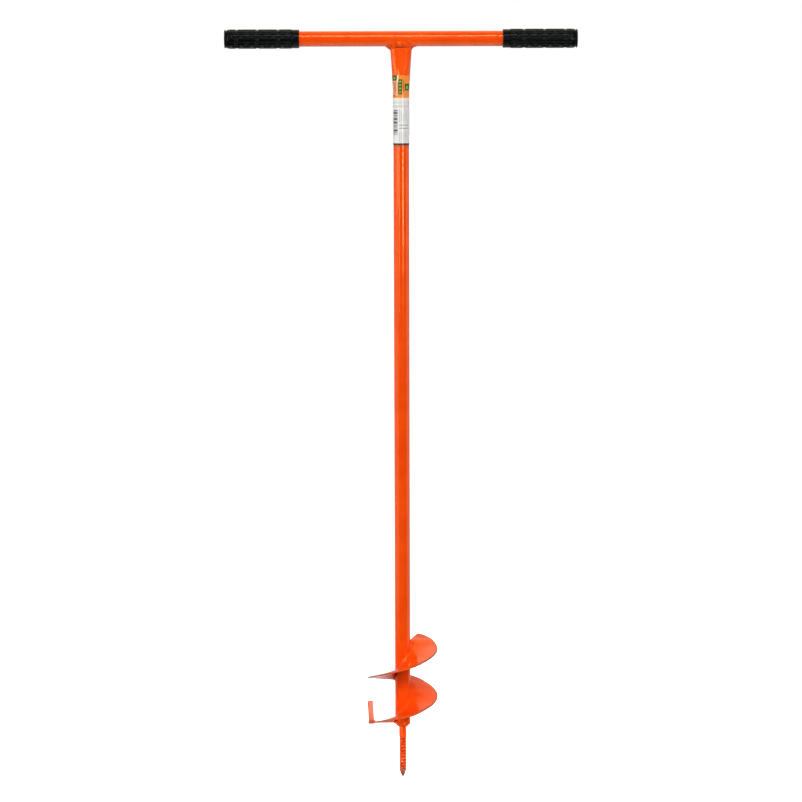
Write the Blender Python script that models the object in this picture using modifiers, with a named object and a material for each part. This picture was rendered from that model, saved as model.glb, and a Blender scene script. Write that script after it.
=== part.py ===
"""Hand earth auger: a T handle with two moulded grips on a round tube shaft, two welded sheet flights, an
upright cutter tooth and a lag screw as the pilot point.

Units are metres and degrees. +Z runs up the shaft from the pilot screw's tip at the origin, +X runs along the
crossbar towards the right grip, and -Y is the front. Angles round the shaft are measured from +X towards +Y,
and both flights climb as the angle grows.
"""

import math

import bmesh
import bpy
from mathutils import Matrix, Vector

# Gap between pieces that touch
CLEARANCE = 0.0003

# Handle
HANDLE_HEIGHT = 1.0492
CROSSBAR_DIAMETER = 0.0213
CROSSBAR_WALL = 0.0015
HANDLE_SPAN = 0.4892

# Grips
GRIP_DIAMETER = 0.0266
GRIP_LENGTH = 0.1035
GRIP_END_WALL = 0.003
GRIP_FLANGE_DIAMETER = 0.0256
GRIP_FLANGE_THICKNESS = 0.0017
GRIP_GROOVE_DIAMETER = 0.0236
GRIP_GROOVE_WIDTH = 0.0013
GRIP_SHOULDER = 0.0035
GRIP_MOUTH_CHAMFER = 0.0007

# Shaft
SHAFT_DIAMETER = 0.022
SHAFT_WALL = 0.0015
SHAFT_END_HEIGHT = 0.078
MOUTH_WIDTH = 0.0304
NECK_LENGTH = 0.0590
HANDLE_WELD_FRONT_LEG = 0.0042
HANDLE_WELD_FRONT_DROP = 0.0030
HANDLE_WELD_SIDE_LEG = 0.0066
HANDLE_WELD_SIDE_DROP = 0.0052

# Label
LABEL_BELOW_HANDLE = 0.0507
LABEL_LENGTH = 0.0957
LABEL_THICKNESS = 0.00015
LABEL_GAP = 0.00015
LABEL_SEAM = 0.0020

# Flights, two of one shape. Their weld spans are angles from the leading edge.
FLIGHT_DIAMETER = 0.100
FLIGHT_PITCH = 0.0786
FLIGHT_THICKNESS = 0.002
FLIGHT_SWEEP = 267.3
LEAD_ANGLE = -178.0
LEAD_ABOVE_SHAFT_END = 0.0015
UPPER_LEAD_TURN = 340.0
UPPER_LEAD_RISE = 0.0632
TRAILING_CUT_OFFSET = 0.0059
LOWER_WELD_SPANS = ((4.0, 44.0), (112.0, 150.0), (174.0, 224.0))
UPPER_WELD_SPANS = ((6.0, 40.0), (114.0, 166.0), (192.0, 232.0))
FLIGHT_WELD_LEG = 0.0028
FLIGHT_WELD_END_SIZE = 0.45
FLIGHT_WELD_FULLNESS = 0.55

# Cutter tooth
TOOTH_WIDTH = 0.008
TOOTH_THICKNESS = 0.003
TOOTH_HEIGHT = 0.0337
TOOTH_BELOW_SHEET = 0.0024
TOOTH_INSET = 0.0012
TOOTH_LEAN = 3.0
TOOTH_EDGE_WIDTH = 0.0004
TOOTH_WELD_LEG = 0.0022
TOOTH_WELD_RUNOUT = 0.0045

# Pilot screw
SCREW_LENGTH = 0.100
SCREW_THREAD_LENGTH = 0.0575
SCREW_SHANK_DIAMETER = 0.0106
SCREW_CREST_DIAMETER = 0.0109
SCREW_CORE_DIAMETER = 0.0088
SCREW_PITCH = 0.0045
SCREW_POINT_LENGTH = 0.0100
SCREW_POINT_POWER = 0.55
SCREW_TIP_DIAMETER = 0.0006
SCREW_HEAD_HEIGHT = 0.0065
SCREW_HEAD_SINK = 0.0003
THREAD_END_HEIGHT = 0.0060
THREAD_ROOT_WIDTH = 0.0026
THREAD_CREST_WIDTH = 0.0008
THREAD_SINK = 0.0003
THREAD_START_ANGLE = 5.0
THREAD_FADE_TURNS = 0.4
THREAD_END_SIZE = 0.25
PILOT_WELD_PLUG = 0.003
PILOT_WELD_DROP = 0.0042
PILOT_WELD_COLLAR = 0.0008

# Facets round a turned piece, round the small ones and round the mouth's saddle
ROUND_STEPS = 48
SMALL_STEPS = 24
SADDLE_STEPS = 96
NECK_RINGS = 8
RADIAL_STEPS = 6
FLIGHT_STEP_ANGLE = 5.0
FLIGHT_WELD_STEP_ANGLE = 8.0
SHARP_ANGLE = 35.0

SHAFT_RADIUS = SHAFT_DIAMETER / 2
CROSSBAR_RADIUS = CROSSBAR_DIAMETER / 2
FLIGHT_RADIUS = FLIGHT_DIAMETER / 2
FLIGHT_ROOT_RADIUS = SHAFT_RADIUS + CLEARANCE


def clear_scene():
    for obj in list(bpy.data.objects):
        bpy.data.objects.remove(obj, do_unlink=True)


def new_collection(name):
    collection = bpy.data.collections.new(name)
    bpy.context.scene.collection.children.link(collection)
    return collection


def new_material(name, colour, roughness, metallic=0.0):
    material = bpy.data.materials.new(name)
    material.use_nodes = True
    shader = material.node_tree.nodes["Principled BSDF"]
    shader.inputs["Base Color"].default_value = (*colour, 1.0)
    shader.inputs["Roughness"].default_value = roughness
    shader.inputs["Metallic"].default_value = metallic
    material.diffuse_color = (*colour, 1.0)
    return material


def mesh_object(name, bm, material, collection, closed=True):
    """Object made of a bmesh, with its round faces smooth and, where it is closed, its faces pointing out."""
    if closed:
        bmesh.ops.recalc_face_normals(bm, faces=bm.faces)
    mesh = bpy.data.meshes.new(name)
    bm.to_mesh(mesh)
    bm.free()
    mesh.shade_smooth()
    mesh.set_sharp_from_angle(angle=math.radians(SHARP_ANGLE))
    if material:
        mesh.materials.append(material)
    obj = bpy.data.objects.new(name, mesh)
    collection.objects.link(obj)
    return obj


def turned(name, profile, steps, material, collection, closed=False):
    """Solid turned about Z from (radius, height) points that run down its outer side, top to bottom. An open
    profile starts and ends on the axis, and a closed one makes a ring."""
    mesh = bpy.data.meshes.new(name)
    count = len(profile)
    edges = [(i, i + 1) for i in range(count - 1)]
    if closed:
        edges.append((count - 1, 0))
    mesh.from_pydata([(radius, 0.0, height) for radius, height in profile], edges, [])
    mesh.materials.append(material)
    obj = bpy.data.objects.new(name, mesh)
    collection.objects.link(obj)
    screw = obj.modifiers.new("turn", "SCREW")
    screw.angle = math.tau
    screw.steps = steps
    screw.render_steps = steps
    screw.use_merge_vertices = True
    screw.merge_threshold = 1e-5
    screw.use_smooth_shade = True
    return obj


def as_mesh(obj):
    """The same object with its modifiers applied."""
    graph = bpy.context.evaluated_depsgraph_get()
    mesh = bpy.data.meshes.new_from_object(obj.evaluated_get(graph))
    obj.modifiers.clear()
    obj.data = mesh
    mesh.shade_smooth()
    mesh.set_sharp_from_angle(angle=math.radians(SHARP_ANGLE))
    return obj


def skinned(name, rings, material, collection, closed_path=False):
    """Solid lofted through rings of points. Its ends are capped, unless the path closes on itself."""
    bm = bmesh.new()
    loops = [[bm.verts.new(point) for point in ring] for ring in rings]
    pairs = list(zip(loops, loops[1:]))
    if closed_path:
        pairs.append((loops[-1], loops[0]))
    else:
        bm.faces.new(loops[0])
        bm.faces.new(loops[-1])
    for first, second in pairs:
        for i in range(len(first)):
            j = (i + 1) % len(first)
            bm.faces.new((first[i], first[j], second[j], second[i]))
    return mesh_object(name, bm, material, collection)


def add_boolean(obj, other, operation):
    boolean = obj.modifiers.new(operation.lower(), "BOOLEAN")
    boolean.operation = operation
    boolean.object = other
    boolean.solver = "EXACT"


def hide_cutter(obj):
    obj.hide_render = True
    obj.display_type = "WIRE"


def polar(radius, angle, height):
    turn = math.radians(angle)
    return Vector((radius * math.cos(turn), radius * math.sin(turn), height))


# Shaft and its squeezed mouth


def ellipse_outline(half_width, half_depth):
    """Ramanujan's length of an ellipse."""
    total = 3 * (half_width + half_depth)
    return math.pi * (total - math.sqrt((3 * half_width + half_depth) * (half_width + 3 * half_depth)))


def squeezed_half_depth(half_width):
    """Half depth of the squeezed tube, whose outline stays as long as the round tube's."""
    low, high = 0.0, SHAFT_RADIUS
    for _ in range(40):
        middle = (low + high) / 2
        if ellipse_outline(half_width, middle) < math.tau * SHAFT_RADIUS:
            low = middle
        else:
            high = middle
    return (low + high) / 2


SEAM_HEIGHT = HANDLE_HEIGHT - CROSSBAR_RADIUS - CLEARANCE
NECK_START = SEAM_HEIGHT - NECK_LENGTH
MOUTH_HALF_DEPTH = squeezed_half_depth(MOUTH_WIDTH / 2)


def shaft_half_axes(height):
    """Half width and half depth of the shaft's outside at this height."""
    share = max(0.0, (height - NECK_START) / NECK_LENGTH)
    half_width = SHAFT_RADIUS + share * (MOUTH_WIDTH / 2 - SHAFT_RADIUS)
    return half_width, squeezed_half_depth(half_width)


def shaft_point(angle, height, offset=0.0):
    """Point on the shaft's outside, moved outwards by offset along the section's normal."""
    half_width, half_depth = shaft_half_axes(height)
    turn = math.radians(angle)
    point = Vector((half_width * math.cos(turn), half_depth * math.sin(turn), height))
    return point + offset * shaft_normal(angle, height)


def shaft_normal(angle, height):
    half_width, half_depth = shaft_half_axes(height)
    turn = math.radians(angle)
    return Vector((half_depth * math.cos(turn), half_width * math.sin(turn), 0.0)).normalized()


def under_crossbar(depth, gap=CLEARANCE):
    """Height of the crossbar's underside at this depth from its axis, less the gap."""
    radius = CROSSBAR_RADIUS + gap
    return HANDLE_HEIGHT - math.sqrt(radius**2 - min(abs(depth), 0.98 * radius) ** 2)


def neck_heights(top):
    return [NECK_START + (top - NECK_START) * i / NECK_RINGS for i in range(NECK_RINGS + 1)]


def make_shaft(material, parts, cutters):
    top = under_crossbar(MOUTH_HALF_DEPTH) + CLEARANCE
    heights = [SHAFT_END_HEIGHT, *neck_heights(top)]
    bm = bmesh.new()
    rings = []
    for height in heights:
        angles = [360 * i / ROUND_STEPS for i in range(ROUND_STEPS)]
        rings.append([bm.verts.new(shaft_point(angle, height)) for angle in angles])
    for low, high in zip(rings, rings[1:]):
        for i in range(ROUND_STEPS):
            j = (i + 1) % ROUND_STEPS
            bm.faces.new((low[i], low[j], high[j], high[i]))
    shaft = mesh_object("shaft_tube", bm, material, parts, closed=False)
    wall = shaft.modifiers.new("wall", "SOLIDIFY")
    wall.thickness = SHAFT_WALL
    wall.offset = -1.0
    wall.use_even_offset = True
    bm = bmesh.new()
    bmesh.ops.create_cone(
        bm,
        cap_ends=True,
        segments=SADDLE_STEPS,
        radius1=CROSSBAR_RADIUS + CLEARANCE,
        radius2=CROSSBAR_RADIUS + CLEARANCE,
        depth=2 * MOUTH_WIDTH,
    )
    saddle = mesh_object("saddle_cutter", bm, None, cutters)
    saddle.rotation_euler = (0.0, math.radians(90.0), 0.0)
    saddle.location = (0.0, 0.0, HANDLE_HEIGHT)
    hide_cutter(saddle)
    add_boolean(shaft, saddle, "DIFFERENCE")
    return shaft


def neck_point_under_crossbar(angle, drop):
    """Point just off the neck's side, this far below the crossbar's underside."""
    height = SEAM_HEIGHT - drop
    for _ in range(4):
        height = under_crossbar(shaft_point(angle, height, CLEARANCE).y, 2 * CLEARANCE) - drop
    return shaft_point(angle, height, CLEARANCE)


def handle_weld_ring(angle):
    """Section of the fillet at one angle: corner, along the crossbar to the toe, and back down to the neck. The
    fillet is heavier at the mouth's two ends than along its front and back."""
    end_share = math.cos(math.radians(angle)) ** 4
    leg = HANDLE_WELD_FRONT_LEG + end_share * (HANDLE_WELD_SIDE_LEG - HANDLE_WELD_FRONT_LEG)
    drop = HANDLE_WELD_FRONT_DROP + end_share * (HANDLE_WELD_SIDE_DROP - HANDLE_WELD_FRONT_DROP)
    corner = neck_point_under_crossbar(angle, 0.0)
    foot = neck_point_under_crossbar(angle, drop)
    normal = shaft_normal(angle, SEAM_HEIGHT)
    points = [corner]
    for share in (0.5, 1.0):
        point = corner + normal * leg * share
        points.append(Vector((point.x, point.y, under_crossbar(point.y, 2 * CLEARANCE))))
    toe = points[-1]
    bulge = normal * CLEARANCE - Vector((0.0, 0.0, CLEARANCE))
    return [*points, toe.lerp(foot, 0.35) + bulge, toe.lerp(foot, 0.7) + bulge, foot]


def make_handle_weld(material, parts):
    rings = [handle_weld_ring(360 * i / ROUND_STEPS) for i in range(ROUND_STEPS)]
    return skinned("handle_weld", rings, material, parts, closed_path=True)


# Crossbar and grips


def make_crossbar(material, parts):
    half_length = HANDLE_SPAN / 2 - GRIP_END_WALL - CLEARANCE
    bore = CROSSBAR_RADIUS - CROSSBAR_WALL
    outer_side = [(CROSSBAR_RADIUS, half_length), (CROSSBAR_RADIUS, -half_length)]
    profile = [*outer_side, (bore, -half_length), (bore, half_length)]
    crossbar = turned("crossbar", profile, ROUND_STEPS, material, parts, closed=True)
    crossbar.rotation_euler = (0.0, math.radians(90.0), 0.0)
    crossbar.location = (0.0, 0.0, HANDLE_HEIGHT)
    return crossbar


def grip_profile():
    """Outer side from the closed end to the mouth, then the bore. Heights run along the grip from its mouth."""
    radius = GRIP_DIAMETER / 2
    flange = GRIP_FLANGE_DIAMETER / 2
    groove = GRIP_GROOVE_DIAMETER / 2
    bore = CROSSBAR_RADIUS + CLEARANCE
    under_flange = GRIP_LENGTH - GRIP_FLANGE_THICKNESS
    body_end = under_flange - GRIP_GROOVE_WIDTH
    drop = radius - groove
    shoulder = [
        (groove + drop * math.sin(math.radians(turn)), body_end - GRIP_SHOULDER * (1 - math.cos(math.radians(turn))))
        for turn in (0.0, 30.0, 60.0, 90.0)
    ]
    return [
        (0.0, GRIP_LENGTH),
        (flange - GRIP_MOUTH_CHAMFER, GRIP_LENGTH),
        (flange, GRIP_LENGTH - GRIP_MOUTH_CHAMFER),
        (flange, under_flange),
        (groove, under_flange),
        *shoulder,
        (radius, GRIP_MOUTH_CHAMFER),
        (radius - GRIP_MOUTH_CHAMFER, 0.0),
        (bore, 0.0),
        (bore, GRIP_LENGTH - GRIP_END_WALL),
        (0.0, GRIP_LENGTH - GRIP_END_WALL),
    ]


def make_grips(material, parts):
    for name, side in (("grip_left", -1), ("grip_right", 1)):
        grip = turned(name, grip_profile(), ROUND_STEPS, material, parts)
        grip.rotation_euler = (0.0, math.radians(90.0 * side), 0.0)
        grip.location = (side * (HANDLE_SPAN / 2 - GRIP_LENGTH), 0.0, HANDLE_HEIGHT)


# Label


def make_label(material, parts):
    """Film wrapped round the shaft, with its seam at the back. Its corners lie over the shaft's own facets."""
    top = HANDLE_HEIGHT - LABEL_BELOW_HANDLE
    bottom = top - LABEL_LENGTH
    heights = [bottom, *(height for height in neck_heights(SEAM_HEIGHT) if bottom < height < top), top]
    seam_angle = math.degrees(LABEL_SEAM / SHAFT_RADIUS) / 2
    facet = 360 / ROUND_STEPS
    inner_facets = [90 + facet * i for i in range(1, ROUND_STEPS)]
    angles = [90 + seam_angle, *inner_facets, 450 - seam_angle]
    rings = []
    for angle in angles:
        outer = [shaft_point(angle, height, LABEL_GAP + LABEL_THICKNESS) for height in heights]
        inner = [shaft_point(angle, height, LABEL_GAP) for height in reversed(heights)]
        rings.append(outer + inner)
    return skinned("label", rings, material, parts)


# Flights


def climb(angle):
    """Rise of a flight over this angle."""
    return FLIGHT_PITCH * angle / 360


LEAD_HEIGHT = SHAFT_END_HEIGHT + LEAD_ABOVE_SHAFT_END
UPPER_LEAD_ANGLE = LEAD_ANGLE + UPPER_LEAD_TURN
UPPER_LEAD_HEIGHT = LEAD_HEIGHT + UPPER_LEAD_RISE


def sheet_slope(radius):
    """Slope of a flight along its turn, at this radius, in radians."""
    return math.atan(FLIGHT_PITCH / (math.tau * radius))


def make_flight(name, lead_angle, lead_height, material, parts, cutters):
    """Sheet made by sweeping one radial line up the screw, then thickened to both sides. Its trailing edge is cut
    straight along a line that passes beside the axis."""
    step = (FLIGHT_RADIUS - FLIGHT_ROOT_RADIUS) / RADIAL_STEPS
    mesh = bpy.data.meshes.new(name)
    line = [(FLIGHT_ROOT_RADIUS + step * i, 0.0, 0.0) for i in range(RADIAL_STEPS + 1)]
    mesh.from_pydata(line, [(i, i + 1) for i in range(RADIAL_STEPS)], [])
    mesh.materials.append(material)
    flight = bpy.data.objects.new(name, mesh)
    parts.objects.link(flight)
    sweep = flight.modifiers.new("sweep", "SCREW")
    sweep.angle = math.radians(FLIGHT_SWEEP)
    sweep.screw_offset = climb(FLIGHT_SWEEP)
    sweep.steps = math.ceil(FLIGHT_SWEEP / FLIGHT_STEP_ANGLE)
    sweep.render_steps = sweep.steps
    sheet = flight.modifiers.new("sheet", "SOLIDIFY")
    sheet.thickness = FLIGHT_THICKNESS
    sheet.offset = 0.0
    as_mesh(flight)

    bm = bmesh.new()
    bmesh.ops.create_cube(bm, size=FLIGHT_DIAMETER)
    saw = mesh_object(f"{name}_saw", bm, None, cutters)
    beside_line = Vector((FLIGHT_RADIUS, FLIGHT_RADIUS - TRAILING_CUT_OFFSET, climb(FLIGHT_SWEEP)))
    placed = Matrix.Translation((0.0, 0.0, lead_height)) @ Matrix.Rotation(math.radians(lead_angle), 4, "Z")
    flight.matrix_world = placed
    saw.matrix_world = placed @ Matrix.Rotation(math.radians(FLIGHT_SWEEP), 4, "Z") @ Matrix.Translation(beside_line)
    hide_cutter(saw)
    add_boolean(flight, saw, "DIFFERENCE")


def root_weld_ring(angle, height, size):
    """Section of a root fillet on the sheet's top side, square to the sheet at the shaft."""
    turn = math.radians(angle)
    outwards = Vector((math.cos(turn), math.sin(turn), 0.0))
    along = Vector((-math.sin(turn), math.cos(turn), 0.0))
    slope = sheet_slope(FLIGHT_ROOT_RADIUS)
    normal = Vector((0.0, 0.0, math.cos(slope))) - along * math.sin(slope)
    corner = polar(FLIGHT_ROOT_RADIUS, angle, height) + normal * (FLIGHT_THICKNESS / 2 + CLEARANCE)
    leg = FLIGHT_WELD_LEG * size
    crown = corner + (outwards + normal) * leg * FLIGHT_WELD_FULLNESS
    return [corner, corner + outwards * leg, crown, corner + normal * leg]


def make_root_weld(name, span, lead_angle, lead_height, material, parts):
    start, end = span
    count = math.ceil((end - start) / FLIGHT_WELD_STEP_ANGLE)
    rings = []
    for i in range(count + 1):
        turned_by = start + (end - start) * i / count
        size = FLIGHT_WELD_END_SIZE if i in (0, count) else 1.0
        rings.append(root_weld_ring(lead_angle + turned_by, lead_height + climb(turned_by), size))
    return skinned(name, rings, material, parts)


def make_flights(material, weld_material, parts, cutters):
    for name, lead_angle, lead_height, weld_spans in (
        ("lower_flight", LEAD_ANGLE, LEAD_HEIGHT, LOWER_WELD_SPANS),
        ("upper_flight", UPPER_LEAD_ANGLE, UPPER_LEAD_HEIGHT, UPPER_WELD_SPANS),
    ):
        make_flight(name, lead_angle, lead_height, material, parts, cutters)
        for number, span in enumerate(weld_spans, start=1):
            make_root_weld(f"{name}_weld_{number}", span, lead_angle, lead_height, weld_material, parts)


# Cutter tooth


TOOTH_RADIUS = FLIGHT_RADIUS - TOOTH_INSET - TOOTH_WIDTH / 2
# The sheet is thickened square to its slope, so its top edge hangs over the leading line by this much.
LEAD_OVERHANG = FLIGHT_THICKNESS / 2 * math.sin(sheet_slope(TOOTH_RADIUS - TOOTH_WIDTH))
TOOTH_FACE = -(LEAD_OVERHANG + CLEARANCE)


def at_lead(radius, along, height):
    """Point by radius on the leading line, distance along the turn from it, and height over its mid-plane."""
    return Matrix.Rotation(math.radians(LEAD_ANGLE), 4, "Z") @ Vector((radius, along, LEAD_HEIGHT + height))


def make_tooth(material, parts):
    bm = bmesh.new()
    bmesh.ops.create_cube(bm, size=1.0)
    bmesh.ops.scale(bm, vec=(TOOTH_WIDTH, TOOTH_THICKNESS, TOOTH_HEIGHT), verts=bm.verts)
    bmesh.ops.translate(bm, vec=(0.0, 0.0, TOOTH_HEIGHT / 2), verts=bm.verts)
    tooth = mesh_object("cutter_tooth", bm, material, parts)
    edges = tooth.modifiers.new("edges", "BEVEL")
    edges.width = TOOTH_EDGE_WIDTH
    edges.segments = 2
    edges.limit_method = "ANGLE"
    foot = at_lead(TOOTH_RADIUS, TOOTH_FACE - TOOTH_THICKNESS / 2, -TOOTH_BELOW_SHEET)
    lean = Matrix.Rotation(math.radians(TOOTH_LEAN), 4, "Y")
    turn = Matrix.Rotation(math.radians(LEAD_ANGLE), 4, "Z")
    tooth.matrix_world = Matrix.Translation(foot) @ turn @ lean
    return tooth


def tooth_weld_ring(radius, size):
    """Section of the bead between the tooth's front face and the sheet's top side."""
    slope = sheet_slope(radius)
    start = TOOTH_FACE + CLEARANCE
    leg = TOOTH_WELD_LEG * size

    def over_sheet(along):
        return along * math.tan(slope) + (FLIGHT_THICKNESS / 2 + CLEARANCE) / math.cos(slope)

    low = over_sheet(start)
    return [
        at_lead(radius, start, low),
        at_lead(radius, start + leg, over_sheet(start + leg)),
        at_lead(radius, start + 0.6 * leg, low + 0.75 * leg),
        at_lead(radius, start, low + leg),
    ]


def make_tooth_weld(material, parts):
    outer = TOOTH_RADIUS + TOOTH_WIDTH / 2 - TOOTH_WELD_LEG / 2
    inner = TOOTH_RADIUS - TOOTH_WIDTH / 2
    stations = [(outer, 0.5), (outer - TOOTH_WELD_LEG / 2, 1.0), (inner, 1.0), (inner - TOOTH_WELD_RUNOUT, 0.35)]
    rings = [tooth_weld_ring(radius, size) for radius, size in stations]
    return skinned("tooth_weld", rings, material, parts)


# Pilot screw


def pointed_radius(full_diameter, height):
    """Radius at this height: full above the gimlet point, and drawn in to the tip along a rounded taper."""
    share = min(1.0, max(0.0, height) / SCREW_POINT_LENGTH)
    tip = SCREW_TIP_DIAMETER / 2
    return tip + (full_diameter / 2 - tip) * share**SCREW_POINT_POWER


def thread_ring(turns, start_height, size):
    """Section of the thread's ridge after this many turns up the screw."""
    angle = THREAD_START_ANGLE + 360 * turns
    height = start_height + SCREW_PITCH * turns
    root = pointed_radius(SCREW_CORE_DIAMETER, height) - THREAD_SINK
    crest = root + (pointed_radius(SCREW_CREST_DIAMETER, height) - root) * size
    half_root = THREAD_ROOT_WIDTH / 2
    half_crest = THREAD_CREST_WIDTH / 2
    return [
        polar(root, angle, height - half_root),
        polar(crest, angle, height - half_crest),
        polar(crest, angle, height + half_crest),
        polar(root, angle, height + half_root),
    ]


def make_screw(material, parts, cutters):
    shank = SCREW_SHANK_DIAMETER / 2
    core = SCREW_CORE_DIAMETER / 2
    point_heights = [SCREW_POINT_LENGTH * share for share in (0.7, 0.45, 0.25, 0.1, 0.0)]
    run_out = SCREW_THREAD_LENGTH + shank - core
    profile = [
        (0.0, SCREW_LENGTH),
        (shank, SCREW_LENGTH),
        (shank, run_out),
        (core, SCREW_THREAD_LENGTH),
        (core, SCREW_POINT_LENGTH),
        *((pointed_radius(SCREW_CORE_DIAMETER, height), height) for height in point_heights),
        (0.0, 0.0),
    ]
    screw = as_mesh(turned("pilot_screw", profile, SMALL_STEPS, material, parts))

    turns = (SCREW_THREAD_LENGTH - THREAD_END_HEIGHT) / SCREW_PITCH
    count = round(turns * SMALL_STEPS)
    rings = []
    for i in range(count + 1):
        turn = turns * i / count
        fade = min(1.0, min(turn, turns - turn) / THREAD_FADE_TURNS)
        rings.append(thread_ring(turn, THREAD_END_HEIGHT, THREAD_END_SIZE + (1 - THREAD_END_SIZE) * fade))
    thread = skinned("screw_thread", rings, material, cutters)
    hide_cutter(thread)
    add_boolean(screw, thread, "UNION")

    bm = bmesh.new()
    corner = SHAFT_RADIUS - SHAFT_WALL - CLEARANCE
    depth = SCREW_HEAD_HEIGHT + SCREW_HEAD_SINK
    bmesh.ops.create_cone(bm, cap_ends=True, segments=6, radius1=corner, radius2=corner, depth=depth)
    head = mesh_object("screw_head", bm, material, cutters)
    head.location = (0.0, 0.0, SCREW_LENGTH + SCREW_HEAD_HEIGHT - depth / 2)
    hide_cutter(head)
    add_boolean(screw, head, "UNION")
    return screw


def make_pilot_weld(material, parts):
    """Bead that plugs the shaft's end round the screw and runs down on to its shank."""
    shank = SCREW_SHANK_DIAMETER / 2 + CLEARANCE
    bore = SHAFT_RADIUS - SHAFT_WALL - CLEARANCE
    under = SHAFT_END_HEIGHT - CLEARANCE
    rim = SHAFT_RADIUS - CLEARANCE
    collar = shank + PILOT_WELD_COLLAR
    foot = SHAFT_END_HEIGHT - PILOT_WELD_DROP
    profile = [
        (bore, SHAFT_END_HEIGHT + PILOT_WELD_PLUG),
        (bore, under),
        (rim, under),
        (rim - 0.12 * PILOT_WELD_DROP, under - 0.3 * PILOT_WELD_DROP),
        (collar + 0.5 * (rim - collar), under - 0.62 * PILOT_WELD_DROP),
        (collar, foot),
        (shank, foot),
        (shank, SHAFT_END_HEIGHT + PILOT_WELD_PLUG),
    ]
    return turned("pilot_weld", profile, SMALL_STEPS, material, parts, closed=True)


def main():
    clear_scene()
    parts = new_collection("hand_earth_auger")
    cutters = new_collection("cutters")
    orange = new_material("orange_powder_coat", (0.90, 0.10, 0.01), 0.30)
    bead = new_material("coated_weld_bead", (0.80, 0.09, 0.01), 0.35)
    black = new_material("black_moulded_plastic", (0.015, 0.015, 0.016), 0.50)
    paper = new_material("printed_label", (0.86, 0.86, 0.84), 0.35)

    make_shaft(orange, parts, cutters)
    make_crossbar(orange, parts)
    make_handle_weld(bead, parts)
    make_grips(black, parts)
    make_label(paper, parts)
    make_flights(orange, bead, parts, cutters)
    make_tooth(orange, parts)
    make_tooth_weld(bead, parts)
    make_screw(orange, parts, cutters)
    make_pilot_weld(bead, parts)


main()
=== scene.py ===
"""Looks of the hand earth auger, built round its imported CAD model.

Lengths are metres. +Z runs up the shaft from the pilot screw's tip, +X runs along the crossbar to the right grip,
and -Y is the front. Angles are degrees, measured round the shaft from +X towards +Y.
"""

import logging
import math
from abc import ABC, abstractmethod
from collections.abc import Mapping, Sequence
from dataclasses import dataclass
from enum import Enum
from typing import Union
import bmesh
import bpy
from mathutils import Matrix, Vector, noise


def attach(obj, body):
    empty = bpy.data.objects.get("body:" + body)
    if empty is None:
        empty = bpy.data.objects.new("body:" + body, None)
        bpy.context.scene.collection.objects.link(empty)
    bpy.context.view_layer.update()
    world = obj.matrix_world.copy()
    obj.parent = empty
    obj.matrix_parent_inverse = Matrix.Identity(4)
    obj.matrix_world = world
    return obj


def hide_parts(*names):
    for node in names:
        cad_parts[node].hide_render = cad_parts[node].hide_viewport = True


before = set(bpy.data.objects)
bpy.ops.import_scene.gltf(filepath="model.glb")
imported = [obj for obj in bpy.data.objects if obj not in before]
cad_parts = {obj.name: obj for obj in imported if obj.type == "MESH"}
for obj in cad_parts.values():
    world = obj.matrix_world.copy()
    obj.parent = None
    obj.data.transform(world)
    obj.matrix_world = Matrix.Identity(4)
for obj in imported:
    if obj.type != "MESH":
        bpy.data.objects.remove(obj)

LOG = logging.getLogger("earth_auger")

Pair = tuple[float, float]
Triple = tuple[float, float, float]
Colour = Triple
Ring = list[Vector]
Socket = bpy.types.NodeSocket
SocketValue = Union[Socket, float, Sequence[float]]
Inputs = Mapping[Union[str, int], SocketValue]

WEAR_AND_SHADE = "wear_and_shade"  # mesh attribute that says how thin the coat is and how dark the painted shade on it is
UP = Vector((0.0, 0.0, 1.0))
BAR_HEIGHT = 1.0492  # height of the crossbar's axis
LABEL_FOOT = 0.9028  # height of the label's lower edge
FRONT = 270.0  # angle round the shaft of the side that faces the camera
CLOUDS = (0.35, 0.65)  # noise values between which clouds fade in
SINK = 0.0001  # how deep a bead's edge lies in the face that it meets
SKIN = 0.00003  # the same for a coat's edge
HAIR = 0.00001  # distance between the two rings at a step


class Slot(Enum):
    """Names of material slots; nothing here gives one to a piece."""

    ORANGE = "orange_powder_coat"
    WELD = "coated_weld_bead"
    PLASTIC = "black_moulded_plastic"


class Side(Enum):
    """Which end of the crossbar a grip is on."""

    LEFT = -1
    RIGHT = 1


# Node trees


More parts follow.
